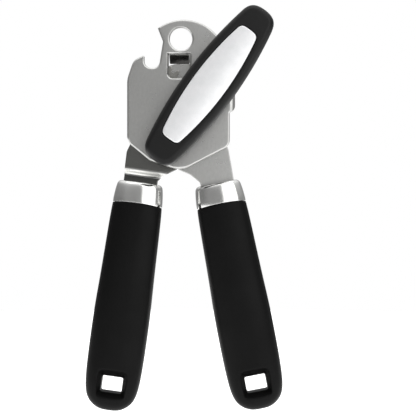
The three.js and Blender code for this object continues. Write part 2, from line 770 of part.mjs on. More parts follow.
function cutterPieces() {
  addPiece('right_arm', rightArm(), 'satinSteel');
  const bore = spindleRadius + boreGap;
  addPiece('cutter_bush', ring(bore, bore + bushWall, layers.rightArm, layers.rightArmBack, cutter), 'toolSteel');
  const rotor = turnedGroup(cutter, 0, -armSwing);
  const gap = 180 / cutterTeeth;
  const gearPoints = gearOutline(cutterPitch, cutterTeeth, -lineTilt + gap);
  const hole = flatted(spindleRadius, spindleFlats, boreGap);
  addPiece('cutter_gear', slab(gearPoints, layers.gear, layers.gearBack, [hole]), 'toolSteel', rotor);
  const nut = layers.cutterBack + sheetGap;
  const threadEnd = nut + 2.2;
  const flatPart = slab(flatted(spindleRadius, spindleFlats), layers.gear + 0.05, layers.gearBack + 0.1);
  const roundPart = disc(spindleRadius, layers.gearBack, threadEnd, [0, 0]);
  addPiece('cutter_spindle', flatPart.add(roundPart), 'polishedSteel', rotor);
  const spacer = [layers.rightArmBack + sheetGap, layers.cutter - sheetGap];
  addPiece('cutter_spacer', ring(bore, spindleRadius + 2.1, ...spacer, [0, 0]), 'toolSteel', rotor);
  addPiece('cutter_wheel', cutterDisc(), 'polishedSteel', rotor);
  addPiece('cutter_cap', capNut(nut, threadEnd), 'polishedSteel', rotor);
}

// A domed hexagon nut that closes over the spindle's end.
function capNut(front, threadEnd) {
  const across = 10.0;
  const radius = across / 2 / Math.cos(Math.PI / 6);
  const hexagon = slab(circle([0, 0], radius, 6), front, front + 6);
  const envelope = turned([
    [0, front], [radius, front], [radius, front + 2.0], [4.6, front + 2.6], [3.6, front + 3.9], [1.8, front + 4.6],
    [0, front + 4.8],
  ]);
  return hexagon.intersect(envelope).subtract(disc(spindleRadius + boreGap, front - 1, threadEnd + 0.3, [0, 0]));
}

function handlePieces(side) {
  const handle = handles[side];
  const frame = turnedGroup(handle.top, handleMiddle, handle.lean);
  addPiece(`${side}_ferrule`, ferrule(), 'polishedSteel', frame);
  addPiece(`${side}_core`, core(handle), 'blackNylon', frame);
  addPiece(`${side}_grip`, grip(), 'blackRubber', frame);
}

fixedPieces();
knobPieces();
cutterPieces();
handlePieces('left');
handlePieces('right');

export default group;
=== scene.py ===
"""Manual can opener: the finished look of each piece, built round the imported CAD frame.

Lengths in the functions are millimetres and are turned to metres as each mesh is made.
+X is to the right, +Z up, and the knob faces -Y.
"""

import json
import math

import bmesh
import bpy
from mathutils import Matrix, Vector
from mathutils.geometry import tessellate_polygon


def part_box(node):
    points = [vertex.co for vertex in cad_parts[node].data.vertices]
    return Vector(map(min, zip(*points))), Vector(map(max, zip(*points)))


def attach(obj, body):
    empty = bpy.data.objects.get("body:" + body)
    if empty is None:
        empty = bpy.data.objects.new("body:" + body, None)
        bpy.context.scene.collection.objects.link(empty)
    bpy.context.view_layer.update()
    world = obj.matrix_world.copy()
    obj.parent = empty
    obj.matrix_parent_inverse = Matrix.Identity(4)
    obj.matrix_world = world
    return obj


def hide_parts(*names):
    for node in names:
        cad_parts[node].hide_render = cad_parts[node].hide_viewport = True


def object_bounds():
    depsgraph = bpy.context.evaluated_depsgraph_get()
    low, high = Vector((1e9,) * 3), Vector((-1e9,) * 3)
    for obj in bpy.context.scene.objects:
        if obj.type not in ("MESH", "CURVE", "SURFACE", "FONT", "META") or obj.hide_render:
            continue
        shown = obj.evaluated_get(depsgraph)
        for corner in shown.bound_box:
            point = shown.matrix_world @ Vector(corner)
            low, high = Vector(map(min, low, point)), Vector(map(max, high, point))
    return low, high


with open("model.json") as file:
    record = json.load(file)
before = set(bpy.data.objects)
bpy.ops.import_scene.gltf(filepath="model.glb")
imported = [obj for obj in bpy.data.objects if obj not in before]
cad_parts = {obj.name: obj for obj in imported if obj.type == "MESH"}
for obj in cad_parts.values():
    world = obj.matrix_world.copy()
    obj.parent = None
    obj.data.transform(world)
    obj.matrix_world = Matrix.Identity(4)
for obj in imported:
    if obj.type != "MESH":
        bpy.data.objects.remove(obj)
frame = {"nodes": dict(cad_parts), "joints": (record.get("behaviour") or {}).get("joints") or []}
CAD_LOW, CAD_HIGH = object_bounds()

bl_info = {
    "name": "Manual can opener",
    "version": (1, 0, 0),
    "blender": (4, 5, 0),
    "location": "View3D > Sidebar > Can Opener",
    "description": "Builds the finished pieces of a manual can opener round its CAD frame",
    "category": "Object",
}

MM = 0.001

# -------- places read from the frame


def joint_place(name):
    """Where a joint's axis crosses the front view, in millimetres."""
    found = next(joint for joint in frame["joints"] if joint["name"] == name)
    return Vector((found["pos_m"][0] / MM, found["pos_m"][2] / MM))


def layer(node):
    """The front and back of a CAD node, in millimetres."""
    low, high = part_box(node)
    return low.y / MM, high.y / MM


DRIVE = joint_place("knob_spin")
PIVOT = joint_place("arm_pivot")
CUTTER = joint_place("cutter_spin")

SHEET = 2.0
BORE_GAP = 0.1  # round a journal, and between riveted sheets
SEAT_GAP = 0.3  # between moulded pieces and what they hold
SHAFT_RADIUS = 4.0
SHAFT_FLATS = 6.4
SPINDLE_RADIUS = 3.5
SPINDLE_FLATS = 5.6
RIVET_RADIUS = 2.0
PIVOT_RADIUS = 3.0
RIVET_HOLE = RIVET_RADIUS + BORE_GAP
PIVOT_BORE = PIVOT_RADIUS + BORE_GAP
SHAFT_BORE = SHAFT_RADIUS + BORE_GAP
SPINDLE_BORE = SPINDLE_RADIUS + BORE_GAP
DRIVE_BUSH = SHAFT_BORE + 0.9
CUTTER_BUSH = SPINDLE_BORE + 0.9
RIGHT_ARM = layer("right_arm")
LEFT_ARM = (SHEET + BORE_GAP, 2 * SHEET + BORE_GAP)
HANDLE_MIDDLE = sum(RIGHT_ARM) / 2

KNOB_TILT = 36.6
ARM_SWING = 18.0
LINE_TILT = 15.0
LEAN = {"left": 8.0, "right": -11.0}
BODY = {"left": "head", "right": "right_handle"}

FERRULE_HALF = 13.2
FERRULE_LENGTH = 11.8
GRIP_HALF = 15.2
GRIP_THICKNESS = 19.5
HANDLE_LENGTH = 123.0
NECK_HALF = 9.05
TANG_HALF = 6.0
TANG_LENGTH = 58.0
CORE_SECTION = (18.0, 10.0)


def handle_top(side):
    """The middle of a ferrule's top, found from the corners of the ferrule's box."""
    low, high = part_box(f"{side}_ferrule")
    lean = math.radians(abs(LEAN[side]))
    drop = FERRULE_HALF * math.sin(lean) + FERRULE_LENGTH * math.cos(lean)
    reach = FERRULE_HALF * math.cos(lean) + FERRULE_LENGTH * math.sin(lean)
    across = low.x / MM + reach if LEAN[side] > 0 else high.x / MM - reach
    return Vector((across, low.z / MM + drop))


TOP = {side: handle_top(side) for side in LEAN}


def on_handle(side, across, along):
    """A point across and along a handle's axis, in the opener's frame."""
    lean = math.radians(LEAN[side])
    return (
        TOP[side].x + across * math.cos(lean) + along * math.sin(lean),
        TOP[side].y - across * math.sin(lean) + along * math.cos(lean),
    )


def handle_matrix(side):
    place = Matrix.Translation((TOP[side].x, HANDLE_MIDDLE, TOP[side].y))
    return place @ Matrix.Rotation(math.radians(LEAN[side]), 4, "Y")


def rotor_matrix(centre, turn):
    return Matrix.Translation((centre.x, 0, centre.y)) @ Matrix.Rotation(math.radians(turn), 4, "Y")


# -------- outlines


def arc(centre, radius, start, end, step=5.0):
    """Points of a circular arc, with a chord for each step in degrees."""
    chords = max(2, math.ceil(abs(end - start) / step))
    turns = [math.radians(start + (end - start) * i / chords) for i in range(chords + 1)]
    return [Vector((centre[0] + radius * math.cos(a), centre[1] + radius * math.sin(a))) for a in turns]


def circle(centre, radius, sides=72):
    return arc(centre, radius, 0, 360, 360 / sides)[:-1]


def without_doubles(points):
    return [point for i, point in enumerate(points) if (point - points[i - 1]).length > 0.01]


def outline(items, step=6.0):
    """A closed outline of corners (x, z, radius), each rounded, and of ready-made lists of points."""
    points = []
    for i, item in enumerate(items):
        if isinstance(item, list):
            points.extend(item)
            continue
        corner = Vector(item[:2])
        radius = item[2] if len(item) > 2 else 0
        if radius == 0:
            points.append(corner)
            continue
        before = items[i - 1]
        after = items[(i + 1) % len(items)]
        back = (before[-1] if isinstance(before, list) else Vector(before[:2])) - corner
        ahead = (after[0] if isinstance(after, list) else Vector(after[:2])) - corner
        back.normalize()
        ahead.normalize()
        half = back.angle(ahead) / 2
        centre = corner + (back + ahead).normalized() * (radius / math.sin(half))
        start = corner + back * (radius / math.tan(half)) - centre
        left = ahead.x * back.y - ahead.y * back.x > 0
        turn = math.degrees(math.pi - 2 * half) * (1 if left else -1)
        begin = math.degrees(math.atan2(start.y, start.x))
        points.extend(arc(centre, radius, begin, begin + turn, step))
    return without_doubles(points)


def facing(points, anticlockwise):
    """The outline, turned so that it runs the way that is asked."""
    area = sum(points[i - 1].x * p.y - p.x * points[i - 1].y for i, p in enumerate(points))
    return list(points) if (area > 0) == anticlockwise else list(reversed(points))


def inset(points, distance):
    """The outline moved to its left, which is into the material."""
    moved = []
    for i, point in enumerate(points):
        before = (point - points[i - 1]).normalized()
        after = (points[(i + 1) % len(points)] - point).normalized()
        first = Vector((-before.y, before.x))
        second = Vector((-after.y, after.x))
        moved.append(point + (first + second) * (distance / max(0.4, 1 + first.dot(second))))
    return moved


def fourfold(quarter):
    """The outline whose quarter runs from the middle of the right side to the top end's middle."""
    def flip(points, x, z):
        return [Vector((p.x * x, p.y * z)) for p in points]

    side = quarter[:-1]
    rest = quarter[1:]
    return [*side, *reversed(flip(rest, -1, 1)), *flip(side, -1, -1), *reversed(flip(rest, 1, -1))]


def inside(point, shape):
    """Whether a point lies in an outline."""
    crossings = 0
    for i, corner in enumerate(shape):
        last = shape[i - 1]
        if (corner.y > point.y) != (last.y > point.y):
            share = (point.y - corner.y) / (last.y - corner.y)
            crossings += point.x < corner.x + share * (last.x - corner.x)
    return crossings % 2 == 1


def crossing(a, b, c, d):
    """Where the segment a-b meets the segment c-d, or None."""
    first = b - a
    second = d - c
    across = first.x * second.y - first.y * second.x
    if abs(across) < 1e-9:
        return None
    gap = c - a
    along = (gap.x * second.y - gap.y * second.x) / across
    beside = (gap.x * first.y - gap.y * first.x) / across
    return a + first * along if 0 <= along < 1 and 0 <= beside < 1 else None


def bitten(blank, bay):
    """The blank's outline with a bay cut into one side of it."""
    blank = facing(blank, True)
    bay = facing(bay, False)
    cuts = []
    for i, start in enumerate(blank):
        for j, other in enumerate(bay):
            met = crossing(start, blank[(i + 1) % len(blank)], other, bay[(j + 1) % len(bay)])
            if met is not None:
                cuts.append((i, j, met))
    if len(cuts) != 2:
        raise RuntimeError(f"the bay meets the blank at {len(cuts)} places, and it has to be 2")

    def enters(cut):
        i, _, met = cut
        return inside(met + (blank[(i + 1) % len(blank)] - blank[i]).normalized() * 0.02, bay)

    def walk(shape, first, last, past):
        count = (last - first) % len(shape) or (len(shape) if past else 0)
        return [shape[(first + 1 + step) % len(shape)] for step in range(count)]

    leave, rejoin = cuts if enters(cuts[0]) else reversed(cuts)
    corner = blank[leave[0]]
    past = (rejoin[2] - corner).length > (leave[2] - corner).length
    outer = walk(blank, rejoin[0], leave[0], past)
    inner = walk(bay, leave[1], rejoin[1], False)
    return without_doubles([rejoin[2], *outer, leave[2], *inner])


# -------- solids


def rounded_edge(width, depth, steps):
    """Insets and depths of a rounded edge, from the wall to the face."""
    if width == 0:
        return [(0.0, 0.0)]
    turns = [math.pi / 2 * i / steps for i in range(steps + 1)]
    return [(width * (1 - math.cos(a)), depth * (1 - math.sin(a))) for a in turns]


def between(near, far, i):
    """The corners of the face between two rings, either of which may be a single point."""
    if len(near) == 1:
        return near[0], far[i - 1], far[i]
    if len(far) == 1:
        return far[0], near[i], near[i - 1]
    return near[i - 1], near[i], far[i], far[i - 1]


def walls(bm, rings):
    """Faces between rings of as many points each, or of a single point."""
    for near, far in zip(rings, rings[1:]):
        if len(near) == len(far) == 1:
            continue
        for i in range(max(len(near), len(far))):
            bm.faces.new(between(near, far, i))


def stacked(bm, points, levels):
    """Walls through an outline at several levels, each an inset and a depth."""
    rings = [[bm.verts.new((p.x, y, p.y)) for p in inset(points, width)] for width, y in levels]
    walls(bm, rings)
    return rings


def cap(bm, rings):
    """Fills the flat face between an outer ring and the rings inside it."""
    flat = [vertex for ring in rings for vertex in ring]
    plan = [[Vector((v.co.x, v.co.z, 0)) for v in ring] for ring in rings]
    for a, b, c in tessellate_polygon(plan):
        bm.faces.new((flat[a], flat[b], flat[c]))


def slab(loops, front, back, edge=(0.0, 0.0), rear=(0.0, 0.0), steps=4):
    """A sheet cut to an outline and holes, with a rounded edge (width, depth) front and rear."""
    bm = bmesh.new()
    levels = [(width, back - depth) for width, depth in reversed(rounded_edge(*rear, steps))]
    levels += [(width, front + depth) for width, depth in rounded_edge(*edge, steps)]
    stacks = [stacked(bm, facing(loop, i == 0), levels) for i, loop in enumerate(loops)]
    cap(bm, [stack[0] for stack in stacks])
    cap(bm, [stack[-1] for stack in stacks])
    return bm


def softened(profile, radius):
    """A profile of (radius, y) with its corners rounded, save those on the axis."""
    items = []
    for i, place in enumerate(profile):
        here = Vector(place)
        before = Vector(profile[i - 1])
        after = Vector(profile[(i + 1) % len(profile)])
        room = 0.45 * min((here - before).length, (here - after).length)
        half = (before - here).angle(after - here, 0) / 2
        fits = min(radius, room * math.tan(half)) if half > 0.01 else 0
        plain = place[0] < 1e-6 or half > math.radians(88) or fits < 0.01
        items.append((*place, 0 if plain else fits))
    return outline(items, 18)


def turned(profile, centre=(0, 0), edge=0.15, segments=96, bm=None):
    """A body turned about a Y axis; the profile of (radius, y) is a closed loop."""
    bm = bm or bmesh.new()
    rings = []
    for radius, y in softened(profile, edge):
        if radius < 1e-6:
            rings.append([bm.verts.new((centre[0], y, centre[1]))])
            continue
        rings.append([bm.verts.new((p.x, y, p.y)) for p in circle(centre, radius, segments)])
    walls(bm, [*rings, rings[0]])
    return bm


def flatted(radius, flats, gap=0.0):
    """A round with two flats."""
    edge = math.degrees(math.acos((flats / 2 + gap) / (radius + gap)))
    return without_doubles([
        *arc((0, 0), radius + gap, edge, 180 - edge),
        *arc((0, 0), radius + gap, 180 + edge, 360 - edge),
    ])


def flowing(profile, steps=6):
    """A smooth run of points through the given ones."""
    ends = [profile[0], *profile, profile[-1]]
    points = []
    for a, b, c, d in zip(ends, ends[1:], ends[2:], ends[3:]):
        for i in range(steps):
            t = i / steps
            points.append(tuple(
                0.5 * (
                    2 * q + (r - p) * t + (2 * p - 5 * q + 4 * r - s) * t ** 2
                    + (3 * q - p - 3 * r + s) * t ** 3
                )
                for p, q, r, s in zip(a, b, c, d)
            ))
    return [*points, tuple(profile[-1])]


def moulding(profile, thickness, width, arch=0.0, sides=96, fullness=0.84):
    """A form about the handle's axis, flattened front to back and fuller at its corners.

    The profile gives half widths and heights; each ring rises by its share of arch at mid-width.
    """
    bm = bmesh.new()
    rings = []
    for half, along, *share in profile:
        rise = arch * (share[0] if share else 0)
        if half < 1e-6:
            rings.append([bm.verts.new((0, 0, along + rise))])
            continue
        ring = []
        for place in circle((0, 0), 1, sides):
            x, y = (math.copysign(abs(value) ** fullness, value) for value in place)
            ring.append(bm.verts.new((half * x, half * y * thickness / width, along + rise * (1 - x * x))))
        rings.append(ring)
    walls(bm, rings)
    bmesh.ops.recalc_face_normals(bm, faces=bm.faces)
    return bm


def cut_across(bm, points, normal):
    """Adds an edge line through the mesh at each place, so that the sheet can be bent there."""
    for point in points:
        geometry = [*bm.verts, *bm.edges, *bm.faces]
        bmesh.ops.bisect_plane(bm, geom=geometry, dist=1e-4, plane_co=point, plane_no=normal)


def smoothstep(value):
    value = min(1.0, max(0.0, value))
    return value * value * (3 - 2 * value)


def to_mesh(bm, name, matrix=None):
    """A mesh in metres, with its faces turned outwards."""
    if matrix:
        bm.transform(matrix)
    bmesh.ops.recalc_face_normals(bm, faces=bm.faces)
    bm.transform(Matrix.Scale(MM, 4))
    mesh = bpy.data.meshes.new(name)
    bm.to_mesh(mesh)
    bm.free()
    return mesh


def cut_away(mesh, cutters, name, operation="DIFFERENCE", voxel=0.0, smoothing=0):
    """The mesh with cutters taken from it, or kept to them, and remeshed if a voxel size is given."""
    body = bpy.data.objects.new(name, mesh)
    bpy.context.scene.collection.objects.link(body)
    extra = []
    for i, cutter in enumerate(cutters):
        other = bpy.data.objects.new(f"{name}_cutter_{i}", cutter)
        bpy.context.scene.collection.objects.link(other)
        extra.append(other)
        boolean = body.modifiers.new("cut", "BOOLEAN")
        boolean.object = other
        boolean.operation = operation
        boolean.solver = "EXACT"
    if voxel:
        remesh = body.modifiers.new("remesh", "REMESH")
        remesh.mode = "VOXEL"
        remesh.voxel_size = voxel * MM
        smooth = body.modifiers.new("smooth", "SMOOTH")
        smooth.factor = 0.5
        smooth.iterations = smoothing
    bpy.context.view_layer.update()
    evaluated = body.evaluated_get(bpy.context.evaluated_depsgraph_get())
    result = bpy.data.meshes.new_from_object(evaluated)
    for item in [body, *extra]:
        bpy.data.objects.remove(item)
    return result


# -------- colours and materials


def linear(code):
    """An sRGB hex colour as linear red, green, blue and alpha."""
    def channel(value):
        value /= 255
        return value / 12.92 if value <= 0.04045 else ((value + 0.055) / 1.055) ** 2.4

    return (*(channel((code >> shift) & 255) for shift in (16, 8, 0)), 1.0)


def per_mm(size):
    """A texture scale that repeats about once in a size in millimetres."""
    return 1 / (size * MM)


def add(tree, kind, inputs=None, **settings):
    """Adds a node with its settings, values and links."""
    node = tree.nodes.new(kind)
    for name, value in settings.items():
        setattr(node, name, value)
    for name, value in (inputs or {}).items():
        if isinstance(value, bpy.types.NodeSocket):
            tree.links.new(value, node.inputs[name])
        else:
            node.inputs[name].default_value = value
    return node


def start_material(name):
    """An empty node material, its tree and the coordinates of its object."""
    material = bpy.data.materials.new(name)
    material.use_nodes = True
    tree = material.node_tree
    tree.nodes.clear()
    return material, tree, add(tree, "ShaderNodeTexCoord").outputs["Object"]


def close_material(tree, inputs):
    shader = add(tree, "ShaderNodeBsdfPrincipled", inputs)
    add(tree, "ShaderNodeOutputMaterial", {"Surface": shader.outputs["BSDF"]})


def metal(name, pale, dark, rough, blotch, grain, stretch, relief, metallic=1.0, tone=None):
    """Steel with cloudy wear, a grain that may run one way, and a roughness that follows both.

    A tone, where one is given, is a function that changes the colour from place to place.
    """
    material, tree, place = start_material(name)
    cloud = add(tree, "ShaderNodeTexNoise", {"Vector": place, "Scale": per_mm(blotch), "Detail": 4.0})
    run = add(tree, "ShaderNodeMapping", {"Vector": place, "Scale": stretch})
    lines = add(tree, "ShaderNodeTexNoise", {
        "Vector": run.outputs["Vector"], "Scale": per_mm(grain), "Detail": 3.0, "Roughness": 0.6,
    })
    both = add(tree, "ShaderNodeMath", {0: cloud.outputs["Fac"], 1: lines.outputs["Fac"]}, operation="ADD")
    spread = {"Value": both.outputs[0], "From Min": 0.7, "From Max": 1.3}
    shade = add(tree, "ShaderNodeMapRange", spread)
    ramp = add(tree, "ShaderNodeValToRGB", {"Fac": shade.outputs["Result"]})
    ramp.color_ramp.elements[0].color = dark
    ramp.color_ramp.elements[1].color = pale
    gloss = add(tree, "ShaderNodeMapRange", {**spread, "To Min": rough[1], "To Max": rough[0]})
    bump = add(tree, "ShaderNodeBump", {
        "Height": lines.outputs["Fac"], "Strength": relief, "Distance": 0.02 * MM,
    })
    colour = ramp.outputs["Color"]
    if tone:
        colour = tone(tree, place, colour)
    close_material(tree, {
        "Base Color": colour, "Metallic": metallic,
        "Roughness": gloss.outputs["Result"], "Normal": bump.outputs["Normal"],
    })
    return material


def painted_shade_under_tongue(tree, place, colour):
    """Paints shade on the underside of the tongue: a near-black colour where it faces down inside the window,
    in place of the shade there.
    """
    parts = add(tree, "ShaderNodeSeparateXYZ", {"Vector": place})
    way = add(tree, "ShaderNodeSeparateXYZ", {"Vector": add(tree, "ShaderNodeNewGeometry").outputs["Normal"]})
    depth = add(tree, "ShaderNodeMapRange", {
        "Value": parts.outputs["Y"], "From Min": 0.9 * MM, "From Max": 2.2 * MM,
    }, interpolation_type="SMOOTHSTEP")
    tests = (
        (parts.outputs["X"], "GREATER_THAN", (TONGUE["left"] - 0.5) * MM),
        (parts.outputs["X"], "LESS_THAN", (TONGUE["right"] + 0.5) * MM),
        (parts.outputs["Z"], "LESS_THAN", (WINDOW["top"] + 1.3) * MM),
        (parts.outputs["Z"], "GREATER_THAN", WINDOW["bottom"] * MM),
        (way.outputs["Z"], "LESS_THAN", -0.05),
    )
    share = depth.outputs["Result"]
    for value, operation, limit in tests:
        test = add(tree, "ShaderNodeMath", {0: value, 1: limit}, operation=operation)
        share = add(tree, "ShaderNodeMath", {0: share, 1: test.outputs[0]}, operation="MULTIPLY").outputs[0]
    # painted shade: the tongue's underside is mixed towards 0x2B2A29
    mix = add(tree, "ShaderNodeMix", {0: share, 6: colour, 7: linear(0x2B2A29)}, data_type="RGBA")
    return mix.outputs[2]


def painted_step_light_and_shade(tree, place, colour):
    """Paints light and shade on the left arm's step: painted shade on the flats above and below it, and
    painted highlight and shade stripes across the bend, in place of its reflections.
    """
    lean = math.radians(LEAN["left"])
    start = (TOP["left"].x * MM, 0, TOP["left"].y * MM)
    spot = add(tree, "ShaderNodeVectorMath", {0: place, 1: start}, operation="SUBTRACT")
    axis = (math.sin(lean), 0, math.cos(lean))
    along = add(tree, "ShaderNodeVectorMath", {0: spot.outputs["Vector"], 1: axis}, operation="DOT_PRODUCT")
    share = add(tree, "ShaderNodeMapRange", {
        "Value": along.outputs["Value"], "From Min": 0, "From Max": 10 * MM,
    })
    ramp = add(tree, "ShaderNodeValToRGB", {"Fac": share.outputs["Result"]})
    stops = ramp.color_ramp.elements
    # painted shade: the flats below and above the step are darkened
    stops[0].color = linear(0x787876)
    stops[1].color = linear(0x8C8C8A)
    # painted highlight and painted shade: dark, white and dark stripes across the bend stand in for its
    # reflections
    painted_bend_stripes = ((0.34, 0x606060), (0.42, 0xF4F4F4), (0.6, 0xF4F4F4), (0.68, 0x4A4A4A), (0.76, 0x8A8A88))
    for height, code in painted_bend_stripes:
        stops.new(height).color = linear(code)
    mix = add(tree, "ShaderNodeMix", {0: 1.0, 6: colour, 7: ramp.outputs["Color"]}, data_type="RGBA",
              blend_type="MULTIPLY")
    return mix.outputs[2]


def tumbled_stainless(name, tone=None):
    """Stamped stainless sheet, tumbled to satin: an even grey with bright soft edges.

    The tumbled grain is drawn about five times coarser than the real one so that it shows.
    """
    look = bpy.context.scene.opener_colours
    dark = linear(0xB6B6B4)
    return metal(name, look.plate, dark, (0.27, 0.34), 9, 1.1, (1, 1, 0.5), 0.12, tone=tone)


def satin_stainless():
    """The tumbled sheet of the head plate, with painted shade on the tongue's underside."""
    return tumbled_stainless("satin_stainless_tumbled_tongue_shade", painted_shade_under_tongue)


def plain_stainless():
    """The same sheet, cut flat, with no painted shade."""
    return tumbled_stainless("satin_stainless_flat")


def drawn_stainless():
    """Stainless sheet stepped in a press, darkened by painted shade, with painted highlight and shade stripes
    across the step.
    """
    pale, dark = linear(0xF0F0EE), linear(0xDCDCDA)
    tone = painted_step_light_and_shade
    return metal("satin_stainless_drawn", pale, dark, (0.18, 0.27), 7, 0.35, (0.5, 1, 1), 0.12, tone=tone)


def polished_stainless():
    """Drawn and buffed stainless: mirror bright, with faint handling haze."""
    pale, dark = bpy.context.scene.opener_colours.ferrule, linear(0xDEDEDC)
    return metal("polished_stainless_buffed", pale, dark, (0.12, 0.18), 7, 0.5, (1, 1, 3), 0.05)


def hardened_steel():
    """Hardened carbon steel, oiled: darker, with a fine machined grain."""
    pale, dark = linear(0xB0AFAB), linear(0x7E7D79)
    return metal("carbon_steel_hardened", pale, dark, (0.24, 0.38), 4, 0.25, (1, 1, 1), 0.5)


def brushed_stainless():
    """Stainless strip, finely brushed and matt lacquered: pale, with a soft wide sheen.

    The grain is drawn about four times coarser than real scratches so that it shows.
    """
    pale, dark = bpy.context.scene.opener_colours.insert, linear(0xE0E1E2)
    rough = (0.3, 0.38)
    return metal("lacquered_stainless_brushed", pale, dark, rough, 5, 0.2, (1, 1, 1), 0.12, metallic=0.55)


def moulded(name, colour, worn, rough, grain, relief, specular):
    """A black moulding with a spark-eroded stipple and faint rub marks."""
    material, tree, place = start_material(name)
    stipple = add(tree, "ShaderNodeTexNoise", {
        "Vector": place, "Scale": per_mm(grain), "Detail": 2.0, "Roughness": 0.55,
    })
    rub = add(tree, "ShaderNodeTexNoise", {"Vector": place, "Scale": per_mm(18), "Detail": 5.0})
    ramp = add(tree, "ShaderNodeValToRGB", {"Fac": rub.outputs["Fac"]})
    ramp.color_ramp.elements[0].position = 0.35
    ramp.color_ramp.elements[0].color = colour
    ramp.color_ramp.elements[1].position = 0.75
    ramp.color_ramp.elements[1].color = worn
    gloss = add(tree, "ShaderNodeMapRange", {
        "Value": rub.outputs["Fac"], "From Min": 0.3, "From Max": 0.7, "To Min": rough[1], "To Max": rough[0],
    })
    bump = add(tree, "ShaderNodeBump", {
        "Height": stipple.outputs["Fac"], "Strength": relief, "Distance": 0.04 * MM,
    })
    close_material(tree, {
        "Base Color": ramp.outputs["Color"], "Roughness": gloss.outputs["Result"],
        "Normal": bump.outputs["Normal"], "Specular IOR Level": specular,
    })
    return material


def soft_rubber():
    """Thermoplastic rubber, moulded with a fine matt stipple that swallows most light."""
    fresh, worn = bpy.context.scene.opener_colours.rubber, linear(0x0A0A0A)
    return moulded("thermoplastic_rubber_moulded", fresh, worn, (0.38, 0.48), 0.45, 0.5, 0.1)


def knob_rubber():
    """The same rubber from a smoother mould, greyed a little by handling."""
    fresh, worn = bpy.context.scene.opener_colours.knob_rubber, linear(0x161616)
    return moulded("thermoplastic_rubber_handled", fresh, worn, (0.38, 0.48), 0.4, 0.4, 0.2)


def black_nylon():
    """Glass-filled nylon, moulded: black, a little glossier than the rubber."""
    fresh, worn = linear(0x1A1A1B), linear(0x242426)
    return moulded("nylon_glass_filled_moulded", fresh, worn, (0.42, 0.52), 0.6, 0.35, 0.4)


def studio_paint():
    """Matt white paint, rolled: a floor with a faint orange-peel texture."""
    material, tree, place = start_material("matt_paint_rolled")
    peel = add(tree, "ShaderNodeTexNoise", {"Vector": place, "Scale": per_mm(3), "Detail": 2.0})
    bump = add(tree, "ShaderNodeBump", {
        "Height": peel.outputs["Fac"], "Strength": 0.05, "Distance": 0.1 * MM,
    })
    close_material(tree, {
        "Base Color": linear(0xE4E4E4), "Roughness": 0.9, "Normal": bump.outputs["Normal"],
        "Emission Color": linear(0xFFFFFF), "Emission Strength": 0.8,
    })
    return material


FINISHES = {
    "satin": ("satin_steel", satin_stainless),
    "plain": ("satin_steel", plain_stainless),
    "drawn": ("satin_steel", drawn_stainless),
    "polished": ("polished_steel", polished_stainless),
    "tool": ("tool_steel", hardened_steel),
    "insert": ("brushed_insert", brushed_stainless),
    "rubber": ("black_rubber", soft_rubber),
    "knob_rubber": ("black_rubber", knob_rubber),
    "nylon": ("black_nylon", black_nylon),
}
made = {}


def finish_of(kind):
    if kind not in made:
        made[kind] = FINISHES[kind][1]()
    return made[kind]


def show(node, body, kind, shape, matrix=None, sharp=35.0):
    """Shows a finished piece, riding on a body, in place of its CAD node."""
    mesh = to_mesh(shape, node, matrix) if isinstance(shape, bmesh.types.BMesh) else shape
    mesh.materials.clear()
    mesh.materials.append(finish_of(kind))
    mesh.shade_smooth()
    mesh.set_sharp_from_angle(angle=math.radians(sharp))
    piece = bpy.data.objects.new(f"{node}_finished", mesh)
    bpy.context.scene.collection.objects.link(piece)
    weighted = piece.modifiers.new("even shading", "WEIGHTED_NORMAL")
    weighted.keep_sharp = True
    weighted.weight = 60
    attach(piece, body)
    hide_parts(node)


def dress(node, kind):
    """Gives a CAD node that is shown as it is a finished material."""
    for slot in frame["nodes"][node].material_slots:
        slot.material = finish_of(kind)


# -------- head plate and arms

HEAD_LEFT = -28.6
HEAD_RIGHT = 25.8
CROWN = (1.4, -12.7)
CROWN_RADIUS = 23.0
HANG_RADIUS = 6.0
WINDOW = {"left": -6.5, "right": 4.7, "top": -7.8, "bottom": -20.7}
RIVETS = ((-13.0, -52.0), (-7.0, -62.0))
FLANGE = {"top": -13.0, "bottom": -38.8, "bend": 3.0, "reach": 7.0, "corner": 2.4}
BEND_START = HEAD_RIGHT - 0.1
BEND_MIDDLE = FLANGE["bend"] - SHEET / 2
TONGUE = {"left": -6.35, "right": 4.55, "reach": 9.3, "drop": 4.7, "bend": 2.05}


def flange_corner(edge, way):
    """A corner of the flat tab that is a round of FLANGE["corner"] from the front once it is bent."""
    radius = FLANGE["corner"]
    points = []
    for i in range(9):
        across = radius * i / 8
        turn = math.asin((FLANGE["bend"] - radius + across) / FLANGE["bend"])
        rise = radius - math.sqrt(radius ** 2 - across ** 2)
        points.append(Vector((BEND_START + turn * BEND_MIDDLE, edge + way * rise)))
    return points


def plate_blank():
    """The head plate as stamped, before its flange is bent."""
    flat = BEND_MIDDLE * math.pi / 2
    tab = BEND_START + flat + FLANGE["reach"] - FLANGE["bend"]
    crown_start = math.degrees(math.atan2(18.3, -13.6))
    return outline([
        (HEAD_LEFT, -52.5, 4.0),
        (HEAD_LEFT, -21.0, 14.0),
        (-25.2, -11.2, 6.0),
        (-19.4, -8.3, 0.8),  # lower claw of the bottle-opener notch
        (-19.4, -15.3, 3.7),
        (-11.8, -15.3, 3.7),
        (-9.6, -1.3, 1.5),
        arc(CROWN, CROWN_RADIUS, crown_start, 16, 3),
        (25.4, FLANGE["top"], 0.6),
        flange_corner(FLANGE["top"], -1),
        (tab, FLANGE["top"] - FLANGE["corner"], 0.6),
        (tab, FLANGE["bottom"] + FLANGE["corner"], 0.6),
        list(reversed(flange_corner(FLANGE["bottom"], 1))),
        (HEAD_RIGHT, FLANGE["bottom"], 0.6),
        (HEAD_RIGHT, -56.6, 5.0),
        (0.1, -69.9, 14.0),  # lowest point of the head
        (-16.6, -64.4, 4.0),
        (-26.9, -55.9, 4.0),
    ])


